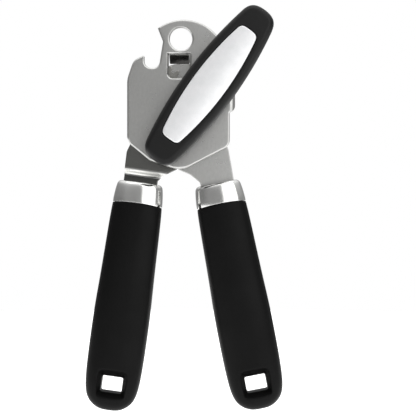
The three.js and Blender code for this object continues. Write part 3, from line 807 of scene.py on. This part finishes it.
def tongue_bend():
    """Where the tongue's bend starts, how far it turns, and its length along the middle."""
    turn = math.pi / 2 - math.atan(TONGUE["drop"] / TONGUE["reach"])
    start = WINDOW["top"] + TONGUE["bend"] * math.tan(turn / 2)
    return start, turn, (TONGUE["bend"] - SHEET / 2) * turn


def window_outline():
    """The window with the tongue still lying flat in it."""
    start, turn, length = tongue_bend()
    run = (TONGUE["reach"] - TONGUE["bend"] * math.tan(turn / 2) * math.sin(turn)) / math.sin(turn)
    tip = start - length - run
    top = WINDOW["top"] + 0.1
    return outline([
        (WINDOW["left"], WINDOW["bottom"], 2.0),
        (WINDOW["left"], top, 0.11),
        (TONGUE["left"], top, 0.11),
        (TONGUE["left"], tip, 0.9),
        (TONGUE["right"], tip, 0.9),
        (TONGUE["right"], top, 0.11),
        (WINDOW["right"], top, 0.11),
        (WINDOW["right"], WINDOW["bottom"], 2.0),
    ])


def bend_flange(bm):
    """Bends the tab at the plate's right side backwards."""
    radius = FLANGE["bend"]
    lines = [BEND_START + BEND_MIDDLE * math.pi / 2 * i / 10 for i in range(11)]
    cut_across(bm, [(x, 0, 0) for x in lines], (1, 0, 0))
    for vertex in bm.verts:
        past = vertex.co.x - BEND_START
        if past <= 0:
            continue
        out = radius - vertex.co.y
        turn = min(past / BEND_MIDDLE, math.pi / 2)
        straight = max(0.0, past - BEND_MIDDLE * math.pi / 2)
        vertex.co.x = BEND_START + out * math.sin(turn)
        vertex.co.y = radius - out * math.cos(turn) + straight


def bend_tongue(bm):
    """Bends the tongue back from the top of the window, to lie on the can's rim."""
    start, turn, length = tongue_bend()
    radius = TONGUE["bend"]
    left, right = TONGUE["left"], TONGUE["right"]
    middle, half = (left + right) / 2, (right - left) / 2
    fade = 1.3
    cut_across(bm, [(0, 0, start - length * i / 8) for i in range(9)], (0, 0, 1))
    sides = [half + fade * i / 3 for i in range(4)]
    cut_across(bm, [(middle + side * way, 0, 0) for side in sides for way in (-1, 1)], (1, 0, 0))
    floor = WINDOW["bottom"] + 2.0
    for vertex in bm.verts:
        past = start - vertex.co.z
        beside = abs(vertex.co.x - middle) - half
        if past <= 0 or vertex.co.z < floor or beside > fade:
            continue
        if beside > 0.05 and vertex.co.z < WINDOW["top"]:
            continue
        share = 1 - smoothstep(beside / fade)
        out = radius - vertex.co.y
        angle = min(past / length * turn, turn)
        straight = max(0.0, past - length)
        y = radius - out * math.cos(angle) + straight * math.sin(angle)
        z = start - out * math.sin(angle) - straight * math.cos(angle)
        vertex.co.y += (y - vertex.co.y) * share
        vertex.co.z += (z - vertex.co.z) * share


def tang(side):
    """The end of an arm inside its handle, from the right of the neck round to its left."""
    right = [
        (NECK_HALF, 2.0), (NECK_HALF, -3.0, 1.0), (TANG_HALF, -8.0, 1.0), (TANG_HALF, -TANG_LENGTH, 3.0),
    ]
    left = [(-across, *rest) for across, *rest in reversed(right)]
    return [(*on_handle(side, across, along), *rest) for across, along, *rest in [*right, *left]]


def left_arm_blank():
    return outline([
        arc(PIVOT, 7.6, -10, 110),
        (-18.0, -44.5, 6.0),
        (-25.3, -52.0, 4.0),
        (-29.0, -59.5, 5.0),
        (-29.9, -67.0, 3.0),
        *reversed(tang("left")),
        (-10.0, -72.8, 1.0),
        (-2.4, -69.2, 1.0),
        (4.0, -60.0, 6.0),
    ])


def right_arm_blank():
    return outline([
        arc(PIVOT, 32.2, 80, 108, 3),
        (-17.0, -19.0, 4.0),
        (-20.0, -26.0, 5.0),
        (-8.5, -42.0, 8.0),
        (-7.5, -50.0, 6.0),
        (-2.2, -68.9, 2.0),
        (4.8, -71.9, 4.0),
        *reversed(tang("right")),
        (26.6, -66.0, 5.0),
        (25.0, -57.5, 5.0),
        (17.0, -47.0, 6.0),
        (11.5, -40.5, 3.0),
        (11.0, -34.5, 2.0),
    ])


def shaft_bay():
    """The room that the drive shaft needs as the right arm swings, open to the right."""
    reach = (DRIVE - PIVOT).length
    width = 4.6
    spoke = (DRIVE - PIVOT).copy()
    spoke.rotate(Matrix.Rotation(math.radians(ARM_SWING), 2))
    shut = PIVOT + spoke
    bearing = math.degrees(math.atan2(spoke.y, spoke.x))
    return without_doubles([
        *arc(PIVOT, reach - width, bearing - ARM_SWING - 40, bearing, 2),
        *arc(shut, width, bearing + 180, bearing)[1:-1],
        *arc(PIVOT, reach + width, bearing, bearing - ARM_SWING - 40, 2),
    ])


def joggle(bm):
    """Steps the left arm back above its handle, to the middle of the grip."""
    top, low = 7.4, 3.0
    step = RIGHT_ARM[0] - LEFT_ARM[0]
    lean = math.radians(LEAN["left"])
    axis = Vector((math.sin(lean), 0, math.cos(lean)))
    origin = Vector((TOP["left"].x, 0, TOP["left"].y))
    count = 16
    cut_across(bm, [origin + axis * (low + (top - low) * i / count) for i in range(count + 1)], axis)
    for vertex in bm.verts:
        along = (vertex.co - origin).dot(axis)
        vertex.co.y += step * (1 - smoothstep((along - low) / (top - low)))


class OPENER_OT_head_plate(bpy.types.Operator):
    """Stamps the head plate and bends its flange and tongue"""

    bl_idname = "opener.head_plate"
    bl_label = "Head plate"

    def execute(self, context):
        sizes = context.scene.opener_sizes
        edge = sizes.plate_edge / MM
        loops = [
            plate_blank(), window_outline(), circle((0, 0), HANG_RADIUS),
            circle(DRIVE, DRIVE_BUSH + BORE_GAP), circle(PIVOT, PIVOT_BORE),
            *[circle(place, RIVET_HOLE) for place in RIVETS],
        ]
        bm = slab(loops, 0, SHEET, (edge, 0.8 * edge), (0.3, 0.3), 6)
        bend_tongue(bm)
        bend_flange(bm)
        show("front_plate", "head", "satin", bm, sharp=50)
        return {"FINISHED"}


class OPENER_OT_arms(bpy.types.Operator):
    """Cuts both steel arms, with the step in the left one and the shaft's bay in the right one"""

    bl_idname = "opener.arms"
    bl_label = "Arms"

    def execute(self, context):
        edge = context.scene.opener_sizes.arm_edge / MM
        holes = [circle(PIVOT, PIVOT_BORE), *[circle(place, RIVET_HOLE) for place in RIVETS]]
        bm = slab([left_arm_blank(), *holes], *LEFT_ARM, (edge, edge), (edge, edge))
        joggle(bm)
        show("left_arm", "head", "drawn", bm, sharp=50)
        blank = bitten(right_arm_blank(), shaft_bay())
        holes = [circle(PIVOT, PIVOT_BORE), circle(CUTTER, CUTTER_BUSH + BORE_GAP)]
        bm = slab([blank, *holes], *RIGHT_ARM, (edge, edge), (edge, edge))
        show("right_arm", "right_handle", "plain", bm, sharp=50)
        return {"FINISHED"}


# -------- bushes, rivets and washers


def collar(node, bore, outer, centre, edge=0.15):
    """A plain ring as deep as its CAD node."""
    front, back = layer(node)
    return turned([(bore, front), (outer, front), (outer, back), (bore, back)], centre, edge)


class OPENER_OT_fasteners(bpy.types.Operator):
    """Turns the bushes, rivets, washers, spacers and the cap nut"""

    bl_idname = "opener.fasteners"
    bl_label = "Bushes, rivets and washers"

    def execute(self, context):
        rim = -0.05  # the heads stand just clear of the sheet
        flange = DRIVE_BUSH + 1.6
        bush = [(SHAFT_BORE, -1.0), (flange, -1.0), (flange, rim), (DRIVE_BUSH, rim), (DRIVE_BUSH, SHEET)]
        show("drive_bush", "head", "tool", turned([*bush, (SHAFT_BORE, SHEET)], DRIVE))
        seat = LEFT_ARM[1] - rim
        head = [(0, -0.9), (1.2, -0.85), (2.3, -0.6), (3.0, -0.3), (3.3, rim), (RIVET_RADIUS, rim)]
        tail = [(RIVET_RADIUS, seat), (3.0, seat), (2.8, seat + 0.25), (0, seat + 0.25)]
        for i, place in enumerate(RIVETS, 1):
            show(f"arm_rivet_{i}", "head", "polished", turned([*head, *tail], place, 0.1))
        seat = layer("pivot_washer")[1] - rim
        rivet = [
            (0, -1.5), (2.0, -1.43), (3.6, -1.15), (4.7, -0.65), (5.2, rim), (PIVOT_RADIUS, rim),
            (PIVOT_RADIUS, seat), (5.0, seat), (4.7, seat + 0.7), (3.8, seat + 1.25), (2.4, seat + 1.6),
            (0, seat + 1.7),
        ]
        show("pivot_rivet", "head", "polished", turned(rivet, PIVOT, 0.2))
        rings = (
            ("pivot_spacer", "head", "tool", PIVOT_BORE, 6.4, PIVOT, 0.15),
            ("pivot_washer", "head", "polished", PIVOT_BORE, 6.6, PIVOT, 0.15),
            ("cutter_bush", "right_handle", "tool", SPINDLE_BORE, CUTTER_BUSH, CUTTER, 0.1),
            ("cutter_spacer", "cutter", "tool", SPINDLE_BORE, 5.6, CUTTER, 0.15),
        )
        for node, body, kind, *sizes in rings:
            show(node, body, kind, collar(node, *sizes))
        self.cap_nut()
        return {"FINISHED"}

    def cap_nut(self):
        """A domed hexagon nut over the spindle's end."""
        front, back = layer("cutter_cap")
        radius = 5.0 / math.cos(math.pi / 6)
        local = rotor_matrix(CUTTER, -ARM_SWING)
        hexagon = outline([(*place, 0.5) for place in circle((0, 0), radius, 6)])
        prism = to_mesh(slab([hexagon], front, back + 0.2), "cap_nut", local)
        dome = [
            (0, front - 0.1), (5.3, front - 0.1), (radius, front + 0.5), (radius, front + 2.0),
            (4.9, front + 2.6), (4.0, front + 3.5), (2.9, front + 4.25), (1.6, front + 4.65), (0, back),
        ]
        keep = to_mesh(turned(dome, (0, 0), 0.25), "cap_dome", local)
        show("cutter_cap", "cutter", "polished", cut_away(prism, [keep], "cap_nut", "INTERSECT"), sharp=40)


# -------- gears and wheels

GEAR_CENTRES = 17.5
DRIVE_TEETH = 11
CUTTER_TEETH = 13
FEED_TEETH = 32
PRESSURE_ANGLE = math.radians(25)
GEAR_SLACK = 0.5


def gear_outline(pitch, teeth, phase):
    """An involute gear about the origin, with a tooth at the angle phase."""
    module = 2 * pitch / teeth
    root, tip = pitch - 1.15 * module, pitch + 0.9 * module
    base = pitch * math.cos(PRESSURE_ANGLE)
    at_pitch = math.pi / (2 * teeth) - GEAR_SLACK / (4 * pitch)
    points = []

    def half_angle(radius):
        there = math.acos(base / radius) if radius > base else 0.0
        return at_pitch + math.tan(PRESSURE_ANGLE) - PRESSURE_ANGLE - (math.tan(there) - there)

    radii = [root + (tip - root) * share for share in (0, 0.12, 0.3, 0.45, 0.6, 0.75, 0.9, 1)]
    for tooth in range(teeth):
        middle = math.radians(phase) + 2 * math.pi * tooth / teeth
        flank = [(radius, half_angle(radius)) for radius in radii]
        spots = [(r, middle - a) for r, a in flank] + [(r, middle + a) for r, a in reversed(flank)]
        points += [Vector((r * math.cos(a), r * math.sin(a))) for r, a in spots]
    return points


def feed_outline():
    """A wheel with sharp teeth that bite the can's rim."""
    tip, root = 8.0, 7.3
    tooth = (
        (0, tip), (0.12, tip - 0.14), (0.42, root + 0.04),
        (0.5, root), (0.58, root + 0.04), (0.88, tip - 0.14),
    )
    points = []
    for i in range(FEED_TEETH):
        for share, radius in tooth:
            angle = 2 * math.pi * (i + share) / FEED_TEETH
            points.append(Vector((radius * math.cos(angle), radius * math.sin(angle))))
    return points


class OPENER_OT_gears(bpy.types.Operator):
    """Cuts the two gears and the toothed feed wheel, with its washer"""

    bl_idname = "opener.gears"
    bl_label = "Gears and feed wheel"

    def execute(self, context):
        pitch = GEAR_CENTRES * DRIVE_TEETH / (DRIVE_TEETH + CUTTER_TEETH)
        drive = gear_outline(pitch, DRIVE_TEETH, 180 - LINE_TILT + KNOB_TILT)
        cutter = gear_outline(GEAR_CENTRES - pitch, CUTTER_TEETH, 180 / CUTTER_TEETH - LINE_TILT)
        knob_place = rotor_matrix(DRIVE, KNOB_TILT)
        cutter_place = rotor_matrix(CUTTER, -ARM_SWING)
        shaft_hole = flatted(SHAFT_RADIUS, SHAFT_FLATS, BORE_GAP)
        spindle_hole = flatted(SPINDLE_RADIUS, SPINDLE_FLATS, BORE_GAP)
        edge = (0.12, 0.12)
        wheels = (
            ("drive_gear", "knob", "tool", drive, shaft_hole, knob_place, 30),
            ("cutter_gear", "cutter", "tool", cutter, spindle_hole, cutter_place, 30),
            ("feed_wheel", "knob", "tool", feed_outline(), shaft_hole, knob_place, 30),
            ("feed_washer", "knob", "polished", circle((0, 0), 6.2), shaft_hole, knob_place, 35),
        )
        for node, body, kind, points, hole, place, sharp in wheels:
            show(node, body, kind, slab([points, hole], *layer(node), edge, edge, 2), place, sharp)
        return {"FINISHED"}


class OPENER_OT_cutting_wheel(bpy.types.Operator):
    """Grinds the cutting wheel to its bevelled edge"""

    bl_idname = "opener.cutting_wheel"
    bl_label = "Cutting wheel"

    def execute(self, context):
        front, back = layer("cutter_wheel")
        low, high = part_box("cutter_wheel")
        radius = (high.x - low.x) / 2 / MM
        profile = [
            (SPINDLE_BORE, front), (radius - 1.6, front), (radius, front + 0.15),
            (radius - 0.1, front + 0.35), (radius - 3.0, back), (SPINDLE_BORE, back),
        ]
        show("cutter_wheel", "cutter", "polished", turned(profile, CUTTER, 0.06, 144), sharp=8)
        return {"FINISHED"}


class OPENER_OT_shafts(bpy.types.Operator):
    """Turns the drive shaft and finishes the spindle, screw and wave washer"""

    bl_idname = "opener.shafts"
    bl_label = "Shafts and screw"

    def execute(self, context):
        front, back = layer("drive_shaft")
        head = back - 1.5
        seat = head - 0.01  # sunk a hair into the shaft
        screw_hole = circle((0, 0), 1.7)
        bm = slab([flatted(SHAFT_RADIUS, SHAFT_FLATS), screw_hole], front, head, (0.3, 0.3))
        turned([(0, seat), (5.0, seat), (4.85, back - 0.5), (4.3, back), (0, back)], (0, 0), 0.25, bm=bm)
        show("drive_shaft", "knob", "polished", bm, rotor_matrix(DRIVE, KNOB_TILT))
        dress("cutter_spindle", "polished")
        dress("knob_screw", "polished")
        dress("wave_washer", "tool")
        return {"FINISHED"}


# -------- knob

KNOB = {"half_length": 48.09, "half_width": 13.4, "end_half_width": 9.3, "end_start": 41.4, "bluntness": 0.65}
INSERT = {"half_length": 34.7, "half_width": 8.8, "end_half_width": 5.9, "end_start": 30.2, "bluntness": 0.84}
SKIN = 3.0
HUB_RADIUS = 7.5


def lens(half_length, half_width, end_half_width, end_start, bluntness, inwards=0.0):
    """A long rounded lens: gently bowed sides that run into blunt round ends."""
    bow = half_width - end_half_width
    radius = (end_start ** 2 + bow ** 2) / (2 * bow)
    slant = math.asin(end_start / radius)
    width = end_half_width - inwards * math.cos(slant)
    height = end_start - inwards * math.sin(slant)
    end = half_length - inwards
    side = arc((half_width - radius, 0), radius - inwards, 0, math.degrees(slant), 1.0)
    reach = bluntness * (end - height)
    controls = [
        Vector((width, height)),
        Vector((width - reach * math.sin(slant), height + reach * math.cos(slant))),
        Vector((bluntness * width, end)),
        Vector((0, end)),
    ]
    tip = []
    for i in range(1, 25):
        t = i / 24
        shares = ((1 - t) ** 3, 3 * t * (1 - t) ** 2, 3 * t * t * (1 - t), t ** 3)
        tip.append(sum((point * share for point, share in zip(controls, shares)), Vector((0, 0))))
    return fourfold([*side, *tip])


def knob_skin(front, back, rounding):
    """The soft skin: a domed rim round the insert's window, hollow behind."""
    bm = bmesh.new()
    rear = 1.2
    floor = front + 2.4
    levels = [(width, back - depth) for width, depth in reversed(rounded_edge(rear, rear, 5))]
    levels += [(width, front + depth) for width, depth in rounded_edge(rounding, 1.5 * rounding, 10)]
    outside = stacked(bm, facing(lens(**KNOB), True), levels)
    levels = [(width, front + depth) for width, depth in reversed(rounded_edge(0.6, 0.6, 4))]
    lip = stacked(bm, facing(lens(**INSERT, inwards=-SEAT_GAP), False), [*levels, (0.0, floor)])
    hollow = stacked(bm, facing(lens(**KNOB, inwards=SKIN), False), [(0.0, floor), (0.0, back)])
    for rings in ((outside[-1], lip[0]), (hollow[0], lip[-1]), (outside[0], hollow[1])):
        cap(bm, rings)
    return bm


def crowned_insert(front, back, crown, edge):
    """The steel strip in the knob, bowed a little across its width."""
    bm = slab([lens(**INSERT)], front, back, (edge, edge), (0.2, 0.2), 5)
    half = INSERT["half_width"]
    cut_across(bm, [(x, 0, 0) for x in range(-8, 9)], (1, 0, 0))
    for vertex in bm.verts:
        facing_front = smoothstep((back - vertex.co.y) / (back - front))
        vertex.co.y += crown * facing_front * (vertex.co.x / half) ** 2
    return bm


class OPENER_OT_knob(bpy.types.Operator):
    """Moulds the knob's body and skin and presses its steel insert"""

    bl_idname = "opener.knob"
    bl_label = "Knob"

    def execute(self, context):
        sizes = context.scene.opener_sizes
        local = rotor_matrix(DRIVE, KNOB_TILT)
        front, back = layer("knob_grip")
        bm = knob_skin(front, back, sizes.knob_rounding / MM)
        show("knob_grip", "knob", "knob_rubber", bm, local, 50)
        hub_end = layer("knob_body")[1]
        core = lens(**KNOB, inwards=SKIN + SEAT_GAP)
        bm = slab([core], front + 2.7, back - 0.2, (0.3, 0.3), (0.8, 0.8))
        root = back - 1.0
        hub = [(SHAFT_BORE, root), (HUB_RADIUS, root), (HUB_RADIUS, hub_end), (SHAFT_BORE, hub_end)]
        turned(hub, (0, 0), 0.4, bm=bm)
        show("knob_body", "knob", "nylon", bm, local)
        bm = crowned_insert(*layer("knob_insert"), sizes.insert_crown / MM, 0.55)
        show("knob_insert", "knob", "insert", bm, local, 50)
        return {"FINISHED"}


# -------- handles

GRIP_PROFILE = (
    (0, 0), (0.2, 0.12), (0.4, 0.7), (0.62, 2.6), (0.8, 5.6),
    (0.91, 10.0), (0.97, 17.0), (1, 30.0), (1, 52.0),
)
SLOT = {"from_end": 14.5, "web": 8.0, "mouth": 17.2}
CORE_ROOM_END = -98.0


def ferrule_shell(arch):
    """A drawn cap with a rounded shoulder, 1.2 thick, arched along its lower edge."""
    half = FERRULE_HALF
    wall = 1.2
    outer = [
        (half - 0.05, -FERRULE_LENGTH, 1), (half, -FERRULE_LENGTH + 0.15, 0.98), (half, -10.0, 0.7),
        (half - 0.15, -8.0, 0.4), (half - 0.45, -5.2, 0.1), (half - 0.9, -2.5, 0), (half - 1.35, -1.2, 0),
        (half - 2.2, -0.35, 0), (half - 3.4, 0, 0),
    ]
    inner = [(max(0.0, r - wall), z - (0 if z < -10 else wall), s) for r, z, s in reversed(outer)]
    profile = [(0, 0, 0), *reversed(flowing(outer, 4)), *reversed(flowing(inner, 2)), (0, -wall, 0)]
    return moulding(profile, GRIP_THICKNESS - 2.2, 2 * half, arch, fullness=0.93)


def slot_cutter():
    """The hanging slot: a hole that flares to a rounded square mouth on both faces."""
    centre = SLOT["from_end"] - HANDLE_LENGTH
    deep = SLOT["web"] / 2
    out = GRIP_THICKNESS / 2 + 1.5
    wide = SLOT["mouth"] / 2 + 1.0
    near = [(out, wide, wide, 3.4), (deep + 0.3, 5.75, 4.5, 0.8), (deep - 0.3, 5.55, 4.3, 0.5)]
    levels = [(-y, *rest) for y, *rest in near] + [(y, *rest) for y, *rest in reversed(near)]
    bm = bmesh.new()
    rings = []
    for y, half, tall, corner in levels:
        points = []
        for x_way, z_way, start in ((1, 1, 0), (-1, 1, 90), (-1, -1, 180), (1, -1, 270)):
            middle = (x_way * (half - corner), centre + z_way * (tall - corner))
            points += arc(middle, corner, start, start + 90, 10)
        rings.append([bm.verts.new((p.x, y, p.y)) for p in points])
    walls(bm, rings)
    bm.faces.new(rings[0])
    bm.faces.new(reversed(rings[-1]))
    return bm


def grip_mesh(arch, voxel):
    """The rubber grip, with room for its core, softened along every edge."""
    top = -FERRULE_LENGTH - 0.2
    tip = -HANDLE_LENGTH + 0.25
    wide = GRIP_HALF - 0.12
    lower = [(share * wide, tip + along, 0) for share, along in GRIP_PROFILE]
    upper = [(wide - 0.7, tip + 74.0, 0), (wide - 1.4, top - 10.0, 0.3), (wide - 1.8, top - 1.2, 0.9)]
    profile = [*flowing([*lower, *upper], 5), (wide - 2.0, top + 0.05, 1)]
    profile += [(wide - 3.6, top + 0.05, 1), (wide - 3.6, top + 1.6, 1), (0, top + 1.6, 1)]
    body = to_mesh(moulding(profile, GRIP_THICKNESS, 2 * wide, arch), "grip_body")
    low, high = CORE_ROOM_END, top + 6
    half, deep = (size / 2 + SEAT_GAP for size in CORE_SECTION)
    face = outline([(-half, high), (-half, low, 3.3), (half, low, 3.3), (half, high)])
    room = to_mesh(slab([face], -deep, deep), "core_room")
    cutter = to_mesh(slot_cutter(), "slot_cutter")
    return cut_away(body, [room, cutter], "grip", "DIFFERENCE", voxel, 3)


def on_its_handle(mesh, side):
    """The mesh moved from its own axis to a handle's."""
    mesh.transform(Matrix.Scale(MM, 4) @ handle_matrix(side) @ Matrix.Scale(1 / MM, 4))
    return mesh


class OPENER_OT_ferrules(bpy.types.Operator):
    """Draws the polished caps at the tops of the handles"""

    bl_idname = "opener.ferrules"
    bl_label = "Ferrules"

    def execute(self, context):
        arch = context.scene.opener_sizes.ferrule_arch / MM
        half = NECK_HALF + SEAT_GAP
        deep = SHEET / 2 + SEAT_GAP
        for side, body in BODY.items():
            neck = outline([(-half, 2), (-half, -6), (half, -6), (half, 2)])
            cutter = to_mesh(slab([neck], -deep, deep), "neck_slot")
            shell = to_mesh(ferrule_shell(arch), "ferrule")
            mesh = on_its_handle(cut_away(shell, [cutter], "ferrule"), side)
            show(f"{side}_ferrule", body, "polished", mesh, sharp=40)
        return {"FINISHED"}


class OPENER_OT_grips(bpy.types.Operator):
    """Moulds the rubber grips with their hanging slots, and finishes their cores"""

    bl_idname = "opener.grips"
    bl_label = "Grips"

    def execute(self, context):
        sizes = context.scene.opener_sizes
        grip = grip_mesh(sizes.ferrule_arch / MM, sizes.grip_voxel / MM)
        for side, body in BODY.items():
            show(f"{side}_grip", body, "rubber", on_its_handle(grip.copy(), side), sharp=60)
            dress(f"{side}_core", "nylon")
        return {"FINISHED"}


# -------- stage

FLOOR_RADIUS = 700
FLOOR_THICKNESS = 10
CAMERA_PLACE = (0.0143, -0.600, -0.0896)  # metres
LENS = 97.96
BOX_DISTANCE = 1.2  # metres


class OPENER_OT_stage(bpy.types.Operator):
    """Sets the floor, the soft studio light and the camera"""

    bl_idname = "opener.stage"
    bl_label = "Studio"

    def execute(self, context):
        light = context.scene.opener_light
        self.floor()
        self.world(light)
        self.softboxes(light)
        self.camera()
        context.scene.view_settings.view_transform = "Standard"
        context.scene.view_settings.look = "None"
        return {"FINISHED"}

    def floor(self):
        """A round of pale floor under the opener."""
        swing_room = 8.0  # the right handle's tip drops a little as it closes
        top = CAD_LOW.z / MM - swing_room
        bm = slab([circle((0, 0), FLOOR_RADIUS, 96)], 0, FLOOR_THICKNESS, (2, 2))
        bm.transform(Matrix.Translation((0, 0, top)) @ Matrix.Rotation(math.radians(-90), 4, "X"))
        mesh = to_mesh(bm, "floor")
        mesh.materials.append(studio_paint())
        floor = bpy.data.objects.new("studio_floor", mesh)
        bpy.context.scene.collection.objects.link(floor)

    def world(self, light):
        """White to the eye; to the metal a quiet room, brighter overhead and darker on the left."""
        world = bpy.data.worlds.new("studio")
        world.use_nodes = True
        tree = world.node_tree
        tree.nodes.clear()
        way = add(tree, "ShaderNodeTexCoord").outputs["Generated"]
        parts = add(tree, "ShaderNodeSeparateXYZ", {"Vector": way})
        rise = add(tree, "ShaderNodeMapRange", {
            "Value": parts.outputs["Z"], "From Min": 0.15, "From Max": 0.8,
            "To Min": light.room, "To Max": light.ceiling,
        }, interpolation_type="SMOOTHSTEP")
        flag = add(tree, "ShaderNodeMapRange", {
            "Value": parts.outputs["X"], "From Min": -0.95, "From Max": -0.5, "To Min": 0.7, "To Max": 1.0,
        }, interpolation_type="SMOOTHSTEP")
        shaded = add(tree, "ShaderNodeMath", {
            0: rise.outputs["Result"], 1: flag.outputs["Result"],
        }, operation="MULTIPLY")
        room = add(tree, "ShaderNodeBackground", {"Color": (1, 1, 1, 1), "Strength": shaded.outputs[0]})
        plain = add(tree, "ShaderNodeBackground", {"Color": (1, 1, 1, 1), "Strength": 1.0})
        ray = add(tree, "ShaderNodeLightPath")
        both = add(tree, "ShaderNodeMixShader", {
            0: ray.outputs["Is Camera Ray"], 1: room.outputs[0], 2: plain.outputs[0],
        })
        add(tree, "ShaderNodeOutputWorld", {"Surface": both.outputs[0]})
        bpy.context.scene.world = world

    def softboxes(self, light):
        """Area lights, each aimed at the opener: azimuth and elevation from the front, size and radiance."""
        middle = (CAD_LOW + CAD_HIGH) / 2
        boxes = (
            ("right_box", 36, 6, 1.3, 1.7, light.right),
            ("top_box", 10, 75, 1.5, 0.8, light.top),
        )
        for name, azimuth, elevation, width, height, radiance in boxes:
            turn, rise = math.radians(azimuth), math.radians(elevation)
            flat = math.cos(rise)
            way = Vector((math.sin(turn) * flat, -math.cos(turn) * flat, math.sin(rise)))
            data = bpy.data.lights.new(name, "AREA")
            data.shape = "RECTANGLE"
            data.size = width
            data.size_y = height
            data.energy = radiance * math.pi * width * height
            lamp = bpy.data.objects.new(name, data)
            lamp.location = middle + way * BOX_DISTANCE
            lamp.rotation_euler = way.to_track_quat("Z", "Y").to_euler()
            lamp.visible_camera = False
            bpy.context.scene.collection.objects.link(lamp)

    def camera(self):
        """A long lens, level and square to the head plate."""
        data = bpy.data.cameras.new("camera")
        data.sensor_width = 36.0
        data.lens = LENS
        data.clip_end = 10.0
        camera = bpy.data.objects.new("camera", data)
        camera.location = CAMERA_PLACE
        camera.rotation_euler = (math.radians(90), 0, 0)
        bpy.context.scene.collection.objects.link(camera)
        bpy.context.scene.camera = camera


# -------- settings, panel and main


def length(name, description, default):
    """A length setting, given in millimetres and held in metres."""
    return bpy.props.FloatProperty(
        name=name, description=description, default=default * MM, min=0.0, subtype="DISTANCE", unit="LENGTH",
    )


def tint(name, description, code):
    return bpy.props.FloatVectorProperty(
        name=name, description=description, default=linear(code), size=4, min=0.0, max=1.0, subtype="COLOR",
    )


def level(name, description, default):
    return bpy.props.FloatProperty(name=name, description=description, default=default, min=0.0)


class OpenerSizes(bpy.types.PropertyGroup):
    """Sizes that give the pieces their finish"""

    plate_edge: length("Plate edge", "Rounding of the head plate's front edge", 1.0)
    arm_edge: length("Arm edge", "Rounding of the arms' edges", 0.45)
    knob_rounding: length("Knob rounding", "Width of the knob's rounded rim", 3.0)
    insert_crown: length("Insert crown", "Bow of the steel insert across its width", 0.65)
    ferrule_arch: length("Ferrule arch", "Rise of the line between ferrule and grip", 1.0)
    grip_voxel: length("Grip detail", "Grain of the grip's mesh", 0.42)


class OpenerColours(bpy.types.PropertyGroup):
    """Colours of the finishes"""

    plate: tint("Plate", "Satin steel of the head plate and right arm", 0xC4C4C2)
    ferrule: tint("Ferrule", "Polished steel of the ferrules", 0xEEEEEC)
    insert: tint("Insert", "Brushed steel of the knob's insert", 0xF0F0F1)
    rubber: tint("Rubber", "Rubber of the grips", 0x050505)
    knob_rubber: tint("Knob rubber", "Rubber of the knob's skin", 0x101010)


class OpenerLight(bpy.types.PropertyGroup):
    """Strengths of the studio light"""

    room: level("Room", "Radiance of the room round the opener", 0.3)
    ceiling: level("Ceiling", "Radiance of the room overhead", 1.0)
    right: level("Right softbox", "Radiance of the softbox on the right", 1.3)
    top: level("Top softbox", "Radiance of the softbox overhead", 1.2)


OPERATORS = (
    OPENER_OT_head_plate, OPENER_OT_arms, OPENER_OT_fasteners, OPENER_OT_gears, OPENER_OT_cutting_wheel,
    OPENER_OT_shafts, OPENER_OT_knob, OPENER_OT_ferrules, OPENER_OT_grips, OPENER_OT_stage,
)


class OPENER_PT_pieces(bpy.types.Panel):
    """Lists the opener's pieces and settings"""

    bl_idname = "OPENER_PT_pieces"
    bl_label = "Can opener"
    bl_space_type = "VIEW_3D"
    bl_region_type = "UI"
    bl_category = "Can Opener"

    def draw(self, context):
        for group in (context.scene.opener_sizes, context.scene.opener_colours, context.scene.opener_light):
            box = self.layout.box()
            for name in group.__annotations__:
                box.prop(group, name)
        for operator in OPERATORS:
            self.layout.operator(operator.bl_idname)


SETTINGS = {"opener_sizes": OpenerSizes, "opener_colours": OpenerColours, "opener_light": OpenerLight}


def register():
    for kind in (*SETTINGS.values(), *OPERATORS, OPENER_PT_pieces):
        bpy.utils.register_class(kind)
    for name, kind in SETTINGS.items():
        setattr(bpy.types.Scene, name, bpy.props.PointerProperty(type=kind))


def unregister():
    for name in SETTINGS:
        delattr(bpy.types.Scene, name)
    for kind in reversed((*SETTINGS.values(), *OPERATORS, OPENER_PT_pieces)):
        bpy.utils.unregister_class(kind)


def main():
    """Builds every piece and the studio."""
    register()
    for operator in OPERATORS:
        getattr(bpy.ops.opener, operator.bl_idname.split(".")[1])()


if __name__ == "__main__":
    main()
